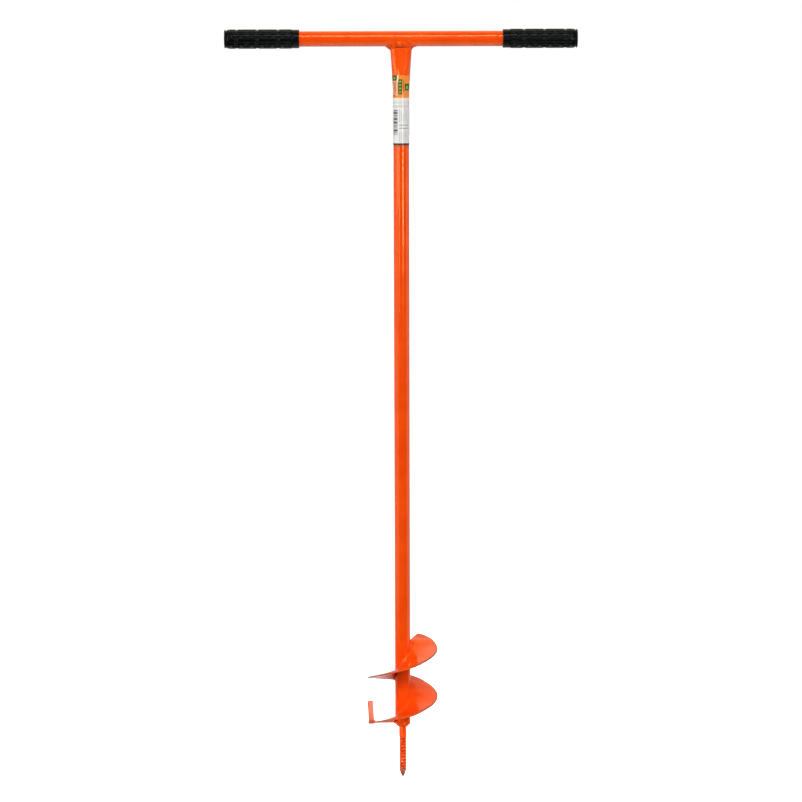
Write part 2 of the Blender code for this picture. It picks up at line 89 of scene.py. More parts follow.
class NodeGraph:
    """The node tree of one material or world, with short calls that add and join its nodes.

    Attributes:
        tree: the tree.
        coordinates: sockets of the point's coordinates.
        place: socket of its place in the shared frame.
    """

    def __init__(self, owner: Union[bpy.types.Material, bpy.types.World]) -> None:
        """Empties the tree of the owner.

        Args:
            owner: material or world that the nodes are for.
        """
        owner.use_nodes = True
        self.tree = owner.node_tree
        self.tree.nodes.clear()
        self.coordinates = self.node("ShaderNodeTexCoord").outputs
        self.place = self.coordinates["Object"]

    def node(self, kind: str, inputs: Inputs | None = None, **settings: object) -> bpy.types.Node:
        """Adds one node.

        Args:
            kind: Blender's type name of the node.
            inputs: values or other nodes' outputs by the name or number of the input.
            settings: the node's own properties.

        Returns:
            The new node.
        """
        made = self.tree.nodes.new(kind)
        for name, value in settings.items():
            setattr(made, name, value)
        for key, value in (inputs or {}).items():
            if isinstance(value, Socket):
                self.tree.links.new(value, made.inputs[key])
            else:
                made.inputs[key].default_value = value
        return made

    def math(self, operation: str, *values: SocketValue) -> Socket:
        """Adds a math node for these values and returns the result's socket."""
        return self.node("ShaderNodeMath", dict(enumerate(values)), operation=operation).outputs[0]

    def axes(self, vector: Socket) -> tuple[Socket, ...]:
        """Splits a vector into the sockets of its x, y and z."""
        return tuple(self.node("ShaderNodeSeparateXYZ", {0: vector}).outputs)

    def grain(self, size: float, detail: float = 2.0, roughness: float = 0.5) -> Socket:
        """Adds a noise from 0 to 1 whose largest grains are this size in metres."""
        sockets = {"Vector": self.place, "Scale": 1.0 / size, "Detail": detail, "Roughness": roughness}
        return self.node("ShaderNodeTexNoise", sockets).outputs[0]

    def span(self, value: SocketValue, start: float, end: float, low: float = 0.0, high: float = 1.0) -> Socket:
        """Maps a value from start and end to low and high, held at both ends and eased between them."""
        sockets = {"Value": value, "From Min": start, "From Max": end, "To Min": low, "To Max": high}
        return self.node("ShaderNodeMapRange", sockets, interpolation_type="SMOOTHSTEP").outputs[0]

    def within(self, value: SocketValue, low: float, high: float) -> Socket:
        """Tells values between low and high from the others, as 1 and 0."""
        return self.math("COMPARE", value, (low + high) / 2, (high - low) / 2)

    def blend(self, share: SocketValue, first: SocketValue, second: SocketValue) -> Socket:
        """Mixes two colours or sockets, where a share of 1 gives the second."""
        sockets = {0: share, 6: rgba(first), 7: rgba(second)}
        return self.node("ShaderNodeMix", sockets, data_type="RGBA").outputs[2]

    def bump(self, height: SocketValue, depth: float, strength: float = 1.0) -> Socket:
        """Adds relief from a height of 0 to 1 that is this deep in metres, and returns the normal's socket."""
        sockets = {"Height": height, "Distance": depth, "Strength": strength}
        return self.node("ShaderNodeBump", sockets).outputs[0]

    def distance(self, first: Socket, second: Socket) -> Socket:
        """Finds the distance from an axis from the two offsets square to it."""
        squares = [self.math("MULTIPLY", side, side) for side in (first, second)]
        return self.math("SQRT", self.math("ADD", *squares))

    def principled(self, inputs: Inputs) -> None:
        """Adds a principled shader and joins it to the output."""
        self.surface(self.node("ShaderNodeBsdfPrincipled", inputs).outputs[0])

    def surface(self, shader: Socket) -> None:
        """Joins a shader to the output."""
        kind = "ShaderNodeOutputWorld" if self.tree.id_data.id_type == "WORLD" else "ShaderNodeOutputMaterial"
        self.node(kind, {"Surface": shader})


def rgba(colour: SocketValue) -> SocketValue:
    """Gives a colour of three numbers its opacity, and leaves a socket as it is."""
    return colour if isinstance(colour, Socket) else (*colour, 1.0)


# Finishes


class Finish(ABC):
    """A procedural material, made on first use."""

    name: str

    def material(self) -> bpy.types.Material:
        """Finds the material, or makes it.

        Returns:
            The material.
        """
        made = bpy.data.materials.get(self.name)
        if made is None:
            made = bpy.data.materials.new(self.name)
            self.lay(NodeGraph(made))
        return made

    @abstractmethod
    def lay(self, graph: NodeGraph) -> None:
        """Lays the material's nodes.

        Args:
            graph: the material's empty node tree.
        """


@dataclass(frozen=True)
class PowderCoat(Finish):
    """Glossy orange powder coat on steel, with a faint orange peel, thin along the edges, and darker where the mesh
    lays painted shade on it.
    """

    name: str = "orange_coat"
    body: Colour = (0.95, 0.077, 0.0020)  # colour where the coat is full
    deep: Colour = (0.88, 0.063, 0.0016)  # colour where it pools or holds dust
    thin_and_shaded: Colour = (0.35, 0.105, 0.055)  # colour where it runs thin over an edge, and of the painted shade on the neck's sides, under the label and on the flights' rims
    gloss: Pair = (0.137, 0.152)  # lowest and highest roughness
    shine: float = 0.5  # strength of its gloss, where 0.5 is that of clean lacquer
    tint: Colour = (1.0, 0.62, 0.26)  # share of the shine that is left where it is thin and where painted shade lies
    worn_shine: float = 0.16  # share of the shine that is left where it is thin
    cloud: float = 0.03  # length of the clouds in its colour
    patch: float = 0.012  # length of the patches in its roughness
    chip: float = 0.004  # length of the breaks in its thin places
    peel: Pair = (0.0026, 0.0000012)  # size and depth of the orange peel
    reads_wear_and_shade: bool = True  # whether the meshes that it is on say where it is thin and where painted shade lies

    def lay(self, graph: NodeGraph) -> None:
        """Lays the coat's nodes.

        Args:
            graph: the material's empty node tree.
        """
        worn_and_shaded = self.worn_and_shaded(graph) if self.reads_wear_and_shade else None
        shine = self.shine if worn_and_shaded is None else graph.span(worn_and_shaded, 0.0, 1.0, self.shine, self.worn_shine * self.shine)
        graph.principled(
            {
                "Base Color": self.colour(graph, worn_and_shaded),
                "Roughness": graph.span(graph.grain(self.patch, 3.0), *CLOUDS, *self.gloss),
                "Normal": self.relief(graph),
                "IOR": 1.5,
                "Specular IOR Level": shine,
                "Specular Tint": rgba(self.tint),
            }
        )

    def worn_and_shaded(self, graph: NodeGraph) -> Socket:
        """Reads how thin the coat is and how much painted shade lies on it from the mesh's attribute, and breaks it
        up a little.
        """
        wear_and_shade = graph.node("ShaderNodeAttribute", attribute_name=WEAR_AND_SHADE).outputs["Fac"]
        return graph.math("MULTIPLY", wear_and_shade, graph.span(graph.grain(self.chip, 3.0), 0.2, 0.6, 0.6, 1.0))

    def colour(self, graph: NodeGraph, worn_and_shaded: Socket | None) -> Socket:
        """Mixes the coat's colour from how thin it is and how much painted shade lies on it, or None where it is full
        all over.
        """
        full = graph.blend(graph.span(graph.grain(self.cloud, 3.0), *CLOUDS), self.body, self.deep)
        return full if worn_and_shaded is None else graph.blend(worn_and_shaded, full, self.thin_and_shaded)

    def relief(self, graph: NodeGraph) -> Socket:
        """Makes the orange peel."""
        size, depth = self.peel
        return graph.bump(graph.grain(size, 2.0), depth)


@dataclass(frozen=True)
class CoatedBead(PowderCoat):
    """The same coat over a weld bead: its colour is patchier and it has the bead's fine pits."""

    name: str = "coated_bead"
    deep: Colour = (0.64, 0.040, 0.0012)
    # darkest colour, laid by the mesh's attribute as painted shade in the creases along the handle bead's edges
    thin_and_shaded: Colour = (0.16, 0.022, 0.004)
    gloss: Pair = (0.12, 0.25)
    pit: Pair = (0.0009, 0.00008)  # size and depth of the pits

    def relief(self, graph: NodeGraph) -> Socket:
        """Makes the pits."""
        size, depth = self.pit
        return graph.bump(graph.grain(size, 3.0, 0.6), depth)


@dataclass(frozen=True)
class RootBead(CoatedBead):
    """The coat over a flight's root welds, as even in colour as the sheet beside them."""

    name: str = "root_bead"
    deep: Colour = (0.88, 0.063, 0.0016)


@dataclass(frozen=True)
class RubbedCoat(PowderCoat):
    """The coat on the lower flight, whose gloss soil has rubbed down."""

    name: str = "rubbed_coat"
    gloss: Pair = (0.16, 0.24)
    shine: float = 0.27
    tint: Colour = (1.0, 0.60, 0.20)


@dataclass(frozen=True)
class RootCoat(PowderCoat):
    """The coat that fills the root over a flight: dull, since the spray settles there dry."""

    name: str = "root_coat"
    gloss: Pair = (0.35, 0.50)
    shine: float = 0.15
    reads_wear_and_shade: bool = False


@dataclass(frozen=True)
class ShadedRootCoat(RootCoat):
    """The coat in the root under a flight, darker: painted shade under the sheet."""

    name: str = "root_coat_painted_shade"
    body: Colour = (0.36, 0.018, 0.0010)
    deep: Colour = (0.28, 0.012, 0.0008)


@dataclass(frozen=True)
class ToothCoatPaintedReflection(PowderCoat):
    """The coat on the cutter tooth, a paler, duller salmon with cloudy darker patches: the pale salmon is a painted
    reflection of a light on its face.
    """

    name: str = "tooth_coat_painted_reflection"
    body: Colour = (0.74, 0.25, 0.175)
    deep: Colour = (0.70, 0.18, 0.105)
    gloss: Pair = (0.30, 0.42)
    peel: Pair = (0.0011, 0.00003)
    reads_wear_and_shade: bool = False


@dataclass(frozen=True)
class CoatedScrew(PowderCoat):
    """The coat on the pilot screw, which thins towards the point, with painted shade between the threads."""

    name: str = "screw_coat"
    body: Colour = (0.95, 0.088, 0.011)
    deep: Colour = (0.88, 0.066, 0.005)
    cloud: float = 0.02
    reads_wear_and_shade: bool = False
    steel: Colour = (0.26, 0.115, 0.070)  # colour of the bare steel
    # Height under which the steel is bare, and height where the coat is full again.
    bare: Pair = (0.002, 0.022)
    thread_shade: Colour = (0.50, 0.030, 0.002)  # colour of the painted shade between the threads
    # Distance from the axis where the space between the threads starts, and where its floor is.
    valley: Pair = (0.0050, 0.0045)
    thread_top: float = 0.0572  # height where the thread starts
    ragged: Pair = (0.003, 0.010)  # length and height of the teeth that the coat's end is worn to
    bared: float = 0.75  # how bare the point is

    def colour(self, graph: NodeGraph, worn_and_shaded: Socket | None) -> Socket:
        """Mixes the coat with the steel under it.

        Args:
            graph: the material's nodes.
            worn_and_shaded: None, since the screw's own heights say where it is thin.

        Returns:
            The colour's socket.
        """
        full = super().colour(graph, None)
        x, y, z = graph.axes(graph.place)
        radius = graph.distance(x, y)
        length, height = self.ragged
        ragged = graph.math("ADD", z, graph.math("MULTIPLY", graph.grain(length, 3.0), height))
        point = graph.span(ragged, self.bare[0] + height / 2, self.bare[1] + height / 2, self.bared, 0.0)
        threaded = graph.math("LESS_THAN", z, self.thread_top)
        # painted shade between the threads
        valley = graph.math("MULTIPLY", graph.span(radius, *self.valley), threaded)
        return graph.blend(point, graph.blend(valley, full, self.thread_shade), self.steel)


@dataclass(frozen=True)
class MouldedPlastic(Finish):
    """Black moulded grip: satin, with the mould's fine leather grain, dust in its grooves and rubbed pads."""

    name: str = "black_grip_plastic"
    body: Colour = (0.0010, 0.0010, 0.0012)  # colour of the plastic
    rubbed: Colour = (0.0020, 0.0020, 0.0023)  # colour of its rubbed, high places
    dust: Colour = (0.0040, 0.0040, 0.0040)  # colour in the grooves
    bar_height: float = BAR_HEIGHT
    # Distance from the crossbar's axis of the grooves' floor and of the pads' tops.
    levels: Pair = (0.0122, 0.0133)
    shine: float = 0.13  # strength of its gloss
    tint: Colour = (0.84, 0.91, 1.0)  # colour of its gloss where it is looked at squarely
    gloss: Triple = (0.30, 0.18, 0.10)  # roughness in a groove and on a pad, and how much its grain adds
    cloud: float = 0.018  # length of the clouds of dust and rubbing
    leather: Pair = (0.0007, 0.00006)  # size and depth of its grain
    sheen: Pair = (0.003, 0.4)  # strength and roughness of its dusty bloom

    def lay(self, graph: NodeGraph) -> None:
        """Lays the plastic's nodes.

        Args:
            graph: the material's empty node tree.
        """
        high = self.high(graph)
        fine = graph.grain(self.leather[0], 3.0, 0.6)
        groove, pad, grained = self.gloss
        roughness = graph.math("ADD", graph.span(high, 0.0, 1.0, groove, pad), graph.math("MULTIPLY", fine, grained))
        graph.principled(
            {
                "Base Color": self.colour(graph, high),
                "Roughness": roughness,
                "Normal": graph.bump(fine, self.leather[1], 0.7),
                "IOR": 1.5,
                "Specular IOR Level": self.shine,
                "Specular Tint": rgba(self.tint),
                "Sheen Weight": self.sheen[0],
                "Sheen Roughness": self.sheen[1],
            }
        )

    def high(self, graph: NodeGraph) -> Socket:
        """Tells the pads from the grooves, as 1 and 0."""
        _, y, z = graph.axes(graph.place)
        return graph.span(graph.distance(y, graph.math("SUBTRACT", z, self.bar_height)), *self.levels)

    def colour(self, graph: NodeGraph, high: Socket) -> Socket:
        """Mixes the plastic's colour.

        Args:
            graph: the material's nodes.
            high: socket of 0 in a groove and 1 on a pad.

        Returns:
            The colour's socket.
        """
        cloud = graph.grain(self.cloud, 4.0)
        rubbed = graph.math("MULTIPLY", high, graph.span(cloud, 0.45, 0.7))
        dusty = graph.math("MULTIPLY", graph.math("SUBTRACT", 1.0, high), graph.span(cloud, 0.3, 0.6, 0.4, 1.0))
        return graph.blend(dusty, graph.blend(rubbed, self.body, self.rubbed), self.dust)


class Ink(Enum):
    """The label's printed colours."""

    ORANGE = (0.84, 0.20, 0.035)
    AMBER = (0.88, 0.262, 0.047)
    PEACH = (0.82, 0.42, 0.25)
    PALE = (0.91, 0.72, 0.57)
    BROWN = (0.36, 0.12, 0.040)
    GREEN = (0.040, 0.105, 0.003)
    SOFT_GREEN = (0.32, 0.42, 0.10)
    CREAM = (0.86, 0.78, 0.50)
    GREY = (0.34, 0.34, 0.35)
    DARK = (0.09, 0.09, 0.095)
    PINK = (0.70, 0.60, 0.62)
    PALE_BLUE = (0.64, 0.69, 0.68)
    FAINT = (0.52, 0.52, 0.50)
    EDGE = (0.050, 0.032, 0.024)


@dataclass(frozen=True)
class PrintedBlock:
    """One plain block of colour on the label."""

    ink: Ink
    left: float  # arc from the label's front line to its left side, in millimetres, negative to the left
    right: float  # the same for its right side
    bottom: float  # distance from the label's lower edge to its lower side, in millimetres
    top: float  # the same for its upper side


def printed_blocks() -> list[PrintedBlock]:
    """Lays out the label's generic print: a coloured band at the top and plain rules under it.

    Returns:
        The blocks, the lowest layer first.
    """
    bars, rules, columns = (-13.5, -5.2), (-13.5, -5.6), (-3.0, 12.0)
    rows = [
        (Ink.AMBER, -40.0, 40.0, 64.9, 95.7),
        (Ink.PEACH, -12.5, -5.0, 68.0, 90.0),
        (Ink.ORANGE, -11.5, -8.2, 70.0, 79.0),
        (Ink.BROWN, -9.6, -8.4, 74.0, 88.0),
        (Ink.BROWN, -11.6, -10.6, 78.0, 86.0),
        (Ink.BROWN, 2.8, 4.0, 73.0, 89.0),
        (Ink.GREEN, -15.0, -6.5, 88.5, 95.7),
        (Ink.SOFT_GREEN, -12.0, -9.5, 90.5, 93.5),
        (Ink.CREAM, -6.2, -4.4, 86.5, 95.7),
        (Ink.GREEN, -4.2, 1.6, 70.0, 90.5),
        (Ink.GREEN, 5.5, 15.0, 75.0, 84.5),
        (Ink.SOFT_GREEN, 7.5, 10.5, 77.0, 81.5),
        (Ink.DARK, -14.0, -10.0, 66.5, 69.0),
        (Ink.PALE, -40.0, 40.0, 61.6, 64.9),
        (Ink.PALE_BLUE, -40.0, 40.0, 56.8, 60.0),
        (Ink.PINK, -40.0, 40.0, 51.8, 54.6),
        (Ink.FAINT, *bars, 13.5, 48.5),
        (Ink.GREY, *columns, 26.6, 27.8),
        (Ink.GREY, *columns, 22.4, 23.6),
        (Ink.EDGE, -40.0, 40.0, 0.0, 2.3),
    ]
    rows += [(Ink.SOFT_GREEN, -2.8, 0.2, 71.6 + 4.8 * row, 74.2 + 4.8 * row) for row in range(4)]
    for bottom, height in ((47.2, 1.0), (42.9, 2.2), (40.2, 0.7), (34.4, 2.4), (29.6, 2.2), (25.8, 0.8), (18.8, 2.4)):
        rows.append((Ink.DARK, *bars, bottom, bottom + height))
    rows += [(Ink.GREY, *rules, bottom, bottom + 0.9) for bottom in (45.6, 38.2, 32.2, 27.6, 23.4, 16.6)]
    for row in range(5):
        sides = (-2.6 + 2.7 * row, -1.7 + 2.7 * row)
        rows.append((Ink.FAINT, *sides, 31.0 + 2.0 * (row % 2), 49.5 - 3.0 * (row % 3)))
        rows.append((Ink.FAINT, *sides, 5.0 + 2.5 * (row % 2), 18.0))
    return [PrintedBlock(*row) for row in rows]


@dataclass(frozen=True)
class PrintedLabel(Finish):
    """Glossy printed film with plain blocks of ink."""

    name: str = "label_print"
    paper: Colour = (0.79, 0.80, 0.785)  # colour of the bare film
    shaded_paper: Colour = (0.71, 0.705, 0.665)  # colour of the film's right side: painted shade, also mixed in at random as mottling
    foot: float = LABEL_FOOT  # height of the label's lower edge
    radius: float = 0.0113  # the shaft's radius, which turns an angle into an arc
    shine: float = 0.11  # strength of its gloss
    gloss: Pair = (0.12, 0.18)  # lowest and highest roughness
    waves: Pair = (0.0040, 0.00001)  # length and depth of its waves
    blocks: tuple[PrintedBlock, ...] = tuple(printed_blocks())  # the print

    def lay(self, graph: NodeGraph) -> None:
        """Lays the label's nodes.

        Args:
            graph: the material's empty node tree.
        """
        fibre = graph.grain(0.006, 3.0)
        graph.principled(
            {
                "Base Color": self.colour(graph, fibre),
                "Roughness": graph.span(fibre, 0.3, 0.7, *self.gloss),
                "Normal": graph.bump(graph.grain(self.waves[0], 2.0), self.waves[1]),
                "IOR": 1.5,
                "Specular IOR Level": self.shine,
            }
        )

    def colour(self, graph: NodeGraph, fibre: Socket) -> Socket:
        """Mixes the film's colour with its print.

        Args:
            graph: the material's nodes.
            fibre: socket of the film's mottling.

        Returns:
            The colour's socket.
        """
        x, y, z = graph.axes(graph.place)
        front = graph.math("MULTIPLY", y, -1.0)
        arc = graph.math("MULTIPLY", graph.math("ARCTAN2", x, front), self.radius * 1000)
        rise = graph.math("MULTIPLY", graph.math("SUBTRACT", z, self.foot), 1000)
        # the right side is darker: painted shade; mottling is mixed in at random
        right_shade_and_mottle = graph.math("MAXIMUM", graph.span(arc, -3.0, 5.0), graph.span(fibre, 0.3, 0.7, 0.0, 0.4))
        colour = graph.blend(right_shade_and_mottle, self.paper, self.shaded_paper)
        for block in self.blocks:
            colour = graph.blend(self.mask(graph, arc, rise, block), colour, block.ink.value)
        return colour

    def mask(self, graph: NodeGraph, arc: Socket, rise: Socket, block: PrintedBlock) -> Socket:
        """Tells a block's inside from its outside, as 1 and 0."""
        across = graph.within(arc, block.left, block.right)
        return graph.math("MULTIPLY", across, graph.within(rise, block.bottom, block.top))


@dataclass(frozen=True)
class FloorPaper(Finish):
    """The floor's pale paper, which glows so that the camera sees it white."""

    name: str = "floor_paper"
    shades: tuple[Colour, Colour] = ((0.90, 0.90, 0.90), (0.94, 0.94, 0.94))  # the colours of its mottling
    mottling: float = 0.05  # length of its mottling
    depth: float = 0.0004  # depth of its relief

    def lay(self, graph: NodeGraph) -> None:
        """Lays the paper's nodes.

        Args:
            graph: the material's empty node tree.
        """
        mottle = graph.grain(self.mottling, 3.0)
        graph.principled(
            {
                "Base Color": graph.blend(mottle, *self.shades),
                "Roughness": 0.9,
                "Specular IOR Level": 0.0,
                "Normal": graph.bump(mottle, self.depth, 0.1),
                "Emission Color": (1.0, 1.0, 1.0, 1.0),
                "Emission Strength": 1.0,
            }
        )


# Meshes


def lofted(
    name: str, rings: Sequence[Ring], closed_path: bool = False, wear_and_shade: Sequence[float] = (), sharp_angle: float = 40.0
) -> bpy.types.Object:
    """Makes an object with a smooth skin through rings, as add_loft and mesh_object describe."""
    return mesh_object(name, add_loft(bmesh.new(), rings, closed_path), sharp_angle, wear_and_shade)


def add_loft(bm: bmesh.types.BMesh, rings: Sequence[Ring], closed_path: bool = False) -> bmesh.types.BMesh:
    """Adds a skin through rings of points.

    Args:
        bm: mesh that gets it.
        rings: rings with the same number of points.
        closed_path: whether the last ring joins the first, and otherwise both ends are closed.

    Returns:
        The mesh.
    """
    loops = [[bm.verts.new(point) for point in ring] for ring in rings]
    pairs = list(zip(loops, loops[1:]))
    if closed_path:
        pairs.append((loops[-1], loops[0]))
    else:
        bm.faces.new(loops[0])
        bm.faces.new(loops[-1])
    for first, second in pairs:
        for i in range(len(first)):
            j = (i + 1) % len(first)
            bm.faces.new((first[i], first[j], second[j], second[i]))
    return bm


def mesh_object(
    name: str, bm: bmesh.types.BMesh, sharp_angle: float = 40.0, wear_and_shade: Sequence[float] = ()
) -> bpy.types.Object:
    """Turns a bmesh into an object with smooth faces.

    Args:
        name: name of the object.
        bm: the mesh, which is freed.
        sharp_angle: angle between faces from which an edge stays sharp.
        wear_and_shade: how thin the coat is and how much painted shade it has at the first points, from 0 to 1, and 0
            at the others.

    Returns:
        The new object, in the scene.
    """
    bmesh.ops.recalc_face_normals(bm, faces=bm.faces)
    mesh = bpy.data.meshes.new(name)
    bm.to_mesh(mesh)
    bm.free()
    mesh.shade_smooth()
    mesh.set_sharp_from_angle(angle=math.radians(sharp_angle))
    if wear_and_shade:
        values = [*wear_and_shade, *[0.0] * (len(mesh.vertices) - len(wear_and_shade))]
        mesh.attributes.new(WEAR_AND_SHADE, "FLOAT", "POINT").data.foreach_set("value", values)
    made = bpy.data.objects.new(name, mesh)
    bpy.context.scene.collection.objects.link(made)
    return made


def set_piece(piece: bpy.types.Object, finish: bpy.types.Material, replaced: Sequence[str] = ()) -> None:
    """Finishes a new piece and ties it to the frame.

    Args:
        piece: the piece, in place.
        finish: its material.
        replaced: CAD nodes that the piece stands for.
    """
    piece.data.materials.clear()
    piece.data.materials.append(finish)
    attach(piece, "root")
    if replaced:
        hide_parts(*replaced)
    LOG.info("piece %s: %d faces", piece.name, len(piece.data.polygons))


def dress_node(node: str, finish: bpy.types.Material) -> None:
    """Gives a CAD node its material.

    Args:
        node: name of the node.
        finish: the material.
    """
    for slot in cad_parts[node].material_slots:
        slot.material = finish
    LOG.info("node %s dressed", node)


def cosine(angle: float) -> float:
    """Returns the cosine of an angle in degrees."""
    return math.cos(math.radians(angle))


def sine(angle: float) -> float:
    """Returns the sine of an angle in degrees."""
    return math.sin(math.radians(angle))


def tangent(angle: float) -> Vector:
    """Returns the level direction that runs round the shaft at an angle."""
    return Vector((-sine(angle), cosine(angle), 0.0))


def hump(offset: float, width: float) -> float:
    """Returns 1 where the offset is 0, and less away from it."""
    return math.exp(-((offset / width) ** 2))


def polar(radius: float, angle: float, height: float) -> Vector:
    """Finds the point at this distance, angle and height round the shaft."""
    return Vector((radius * cosine(angle), radius * sine(angle), height))


def ripple(place: Vector, size: float) -> float:
    """Gives a smooth, repeatable unevenness from about -1 to 1, with swells of this length in metres."""
    return noise.noise(place / size)


def eased(value: float, start: float, end: float) -> float:
    """Eases from 0 to 1 between two values, of which the end may lie before the start."""
    share = min(1.0, max(0.0, (value - start) / (end - start)))
    return share * share * (3 - 2 * share)


# Shaft, crossbar and the weld between them


@dataclass(frozen=True)
class BeadFace:
    """How a weld's face runs between its toe and its foot."""

    steps: int  # steps across it
    pass_length: float  # length of one ripple
    pass_bend: float  # how far the ripples' ends lie from their middle, along the weld
    scallop: float  # depth of the ripples
    lumps: tuple[Pair, ...]  # height and length of its swells

    def points(self, toe: Vector, foot: Vector, outwards: Vector, along: float, bow: float) -> Ring:
        """Lays the points of one section.

        Args:
            toe: where the face starts.
            foot: where it ends.
            outwards: direction that it bulges in.
            along: distance of the section along the weld.
            bow: how far its middle bulges.

        Returns:
            The points, from toe to foot.
        """
        made = []
        for step in range(self.steps + 1):
            share = step / self.steps
            point = toe.lerp(foot, share)
            phase = (along + self.pass_bend * (2 * share - 1) ** 2) / self.pass_length
            bulge = bow + self.scallop * (abs(math.sin(math.pi * phase)) - 0.5)
            bulge += sum(height * ripple(point, length) for height, length in self.lumps)
            made.append(point + outwards * math.sin(math.pi * share) * bulge)
        return made


@dataclass
class ShaftShape:
    """The shaft's outside, round below and squeezed into a wide mouth at the top."""

    radius: float = 0.011
    foot: float = 0.078  # height of its lower end
    wall: float = 0.0015
    mouth_half_width: float = 0.0152  # half the mouth's width
    neck_length: float = 0.0590  # length of the squeezed part
    handle_height: float = BAR_HEIGHT  # height of the crossbar's axis
    bar_radius: float = 0.01065
    gap: float = 0.0003  # clearance between pieces that touch

    def __post_init__(self) -> None:
        """Works out where the neck runs."""
        self.seam = self.handle_height - self.bar_radius - self.gap
        self.neck_start = self.seam - self.neck_length

    def half_axes(self, height: float) -> Pair:
        """Finds the outside's section.

        Args:
            height: height of the section.

        Returns:
            Its half width and half depth.
        """
        share = max(0.0, (height - self.neck_start) / self.neck_length)
        half_width = self.radius + share * (self.mouth_half_width - self.radius)
        low, high = 0.0, self.radius
        for _ in range(30):
            middle = (low + high) / 2
            total = 3 * (half_width + middle)
            outline = math.pi * (total - math.sqrt((3 * half_width + middle) * (half_width + 3 * middle)))
            if outline < math.tau * self.radius:
                low = middle
            else:
                high = middle
        return half_width, (low + high) / 2

    def point(self, angle: float, height: float, offset: float = 0.0) -> Vector:
        """Finds a point this far out from the outside, where the angle is the section's parameter."""
        across, deep = self.half_axes(height)
        return Vector((across * cosine(angle), deep * sine(angle), height)) + offset * self.normal(angle, height)

    def normal(self, angle: float, height: float) -> Vector:
        """Finds the section's outward normal."""
        half_width, half_depth = self.half_axes(height)
        return Vector((half_depth * cosine(angle), half_width * sine(angle), 0.0)).normalized()

    def under_bar(self, depth: float, gap: float) -> float:
        """Finds the height of the crossbar's underside at a depth from its axis, less the gap."""
        reach = self.bar_radius + gap
        return self.handle_height - math.sqrt(reach**2 - min(abs(depth), 0.98 * reach) ** 2)


@dataclass
class Handle:
    """The crossbar, and the fillet weld that joins the shaft's mouth to it."""

    shape: ShaftShape
    front_leg: float = 0.0042  # the weld's width along the crossbar at the front and back
    front_drop: float = 0.0030  # its reach down the neck there
    side_leg: float = 0.0066  # its width at the mouth's two ends
    side_drop: Pair = (0.0056, 0.0042)  # its reach down the neck there, at the left and right end
    wander: float = 0.22  # how much its width varies, as a share
    # How far its face bulges at the front, and how much less at the mouth's two ends.
    bows: Pair = (0.00080, 0.00180)
    roundness: float = 1.2  # the mouth's mean radius as a share of the tube's
    root: float = 0.0006  # how far the bead's foot reaches into the neck
    toe_shade: Pair = (0.15, 0.15)  # how dark the painted shade is at the first points of a section, along the toe by the crossbar
    foot_shade: Triple = (0.45, 1.0, 1.0)  # and at the last points, the painted shade in the crease where the bead meets the neck
    stations: int = 288  # sections round the weld
    face: BeadFace = BeadFace(9, 0.0036, 0.0012, 0.00050, ((0.00130, 0.0055), (0.00055, 0.0024)))  # shape of its face
    # Places of the spatter beads on the crossbar, as x, turn from the front down, and size.
    spatter: tuple[Triple, ...] = (
        (0.0148, 22.0, 0.0006),
        (0.0163, 34.0, 0.0005),
        (0.0172, 12.0, 0.0004),
        (0.0186, 40.0, 0.0007),
        (0.0194, 25.0, 0.0004),
        (0.0152, 4.0, 0.0004),
        (-0.0206, 36.0, 0.0005),
        (-0.0228, 21.0, 0.0004),
    )

    def corner(self, angle: float, drop: float) -> Vector:
        """Finds a point just off the neck's side.

        Args:
            angle: angle round the mouth.
            drop: distance below the crossbar's underside.

        Returns:
            The point.
        """
        shape = self.shape
        height = shape.seam - drop
        for _ in range(4):
            height = shape.under_bar(shape.point(angle, height, shape.gap).y, 2 * shape.gap) - drop
        return shape.point(angle, height, shape.gap)

    def bead_ring(self, angle: float) -> Ring:
        """Makes the bead's section at one angle.

        Args:
            angle: angle round the mouth.

        Returns:
            The section's points.
        """
        shape = self.shape
        end_share = cosine(angle) ** 4
        wandered = 1.0 + self.wander * ripple(polar(1.0, angle, 3.0), 0.3)
        leg = (self.front_leg + end_share * (self.side_leg - self.front_leg)) * wandered
        side_drop = self.side_drop[0] if cosine(angle) < 0 else self.side_drop[1]
        drop = (self.front_drop + end_share * (side_drop - self.front_drop)) * (2.0 - wandered)
        normal = shape.normal(angle, shape.seam)
        inner = self.corner(angle, 0.0) - normal * 2 * shape.gap
        toe = self.corner(angle, 0.0) + normal * leg
        toe.z = shape.under_bar(toe.y, 0.0) - 0.00005
        foot = self.corner(angle, drop) - normal * shape.gap
        inner.z = shape.under_bar(inner.y, 0.0)
        outwards = (normal - UP).normalized()
        along = shape.radius * math.radians(angle) * self.roundness
        bow = self.bows[0] - self.bows[1] * end_share
        return [inner, *self.face.points(toe, foot, outwards, along, bow), foot - normal * self.root]

    def build_weld(self) -> bpy.types.Object:
        """Builds the weld with its ripples and the spatter beside it.

        Returns:
            The weld.
        """
        rings = [self.bead_ring(360 * i / self.stations) for i in range(self.stations)]
        bm = add_loft(bmesh.new(), rings, closed_path=True)
        plain = [0.0] * (len(rings[0]) - len(self.toe_shade) - len(self.foot_shade))
        # painted shade along the bead's toe and in the crease at its foot
        wear_and_shade = [*self.toe_shade, *plain, *self.foot_shade] * len(rings)
        for along, turn, size in self.spatter:
            out = Vector((0.0, -cosine(turn), -sine(turn)))
            centre = Vector((along, 0.0, self.shape.handle_height)) + out * self.shape.bar_radius
            squash = Matrix.Diagonal((size * 1.3, size, size * 0.9, 1.0))
            bmesh.ops.create_icosphere(bm, subdivisions=2, radius=1.0, matrix=Matrix.Translation(centre) @ squash)
        return mesh_object("handle_bead", bm, 70.0, wear_and_shade)

    def build(self, coat: PowderCoat, bead: CoatedBead) -> None:
        """Dresses the crossbar and builds the weld."""
        dress_node("crossbar", coat.material())
        set_piece(self.build_weld(), bead.material(), ["handle_weld"])


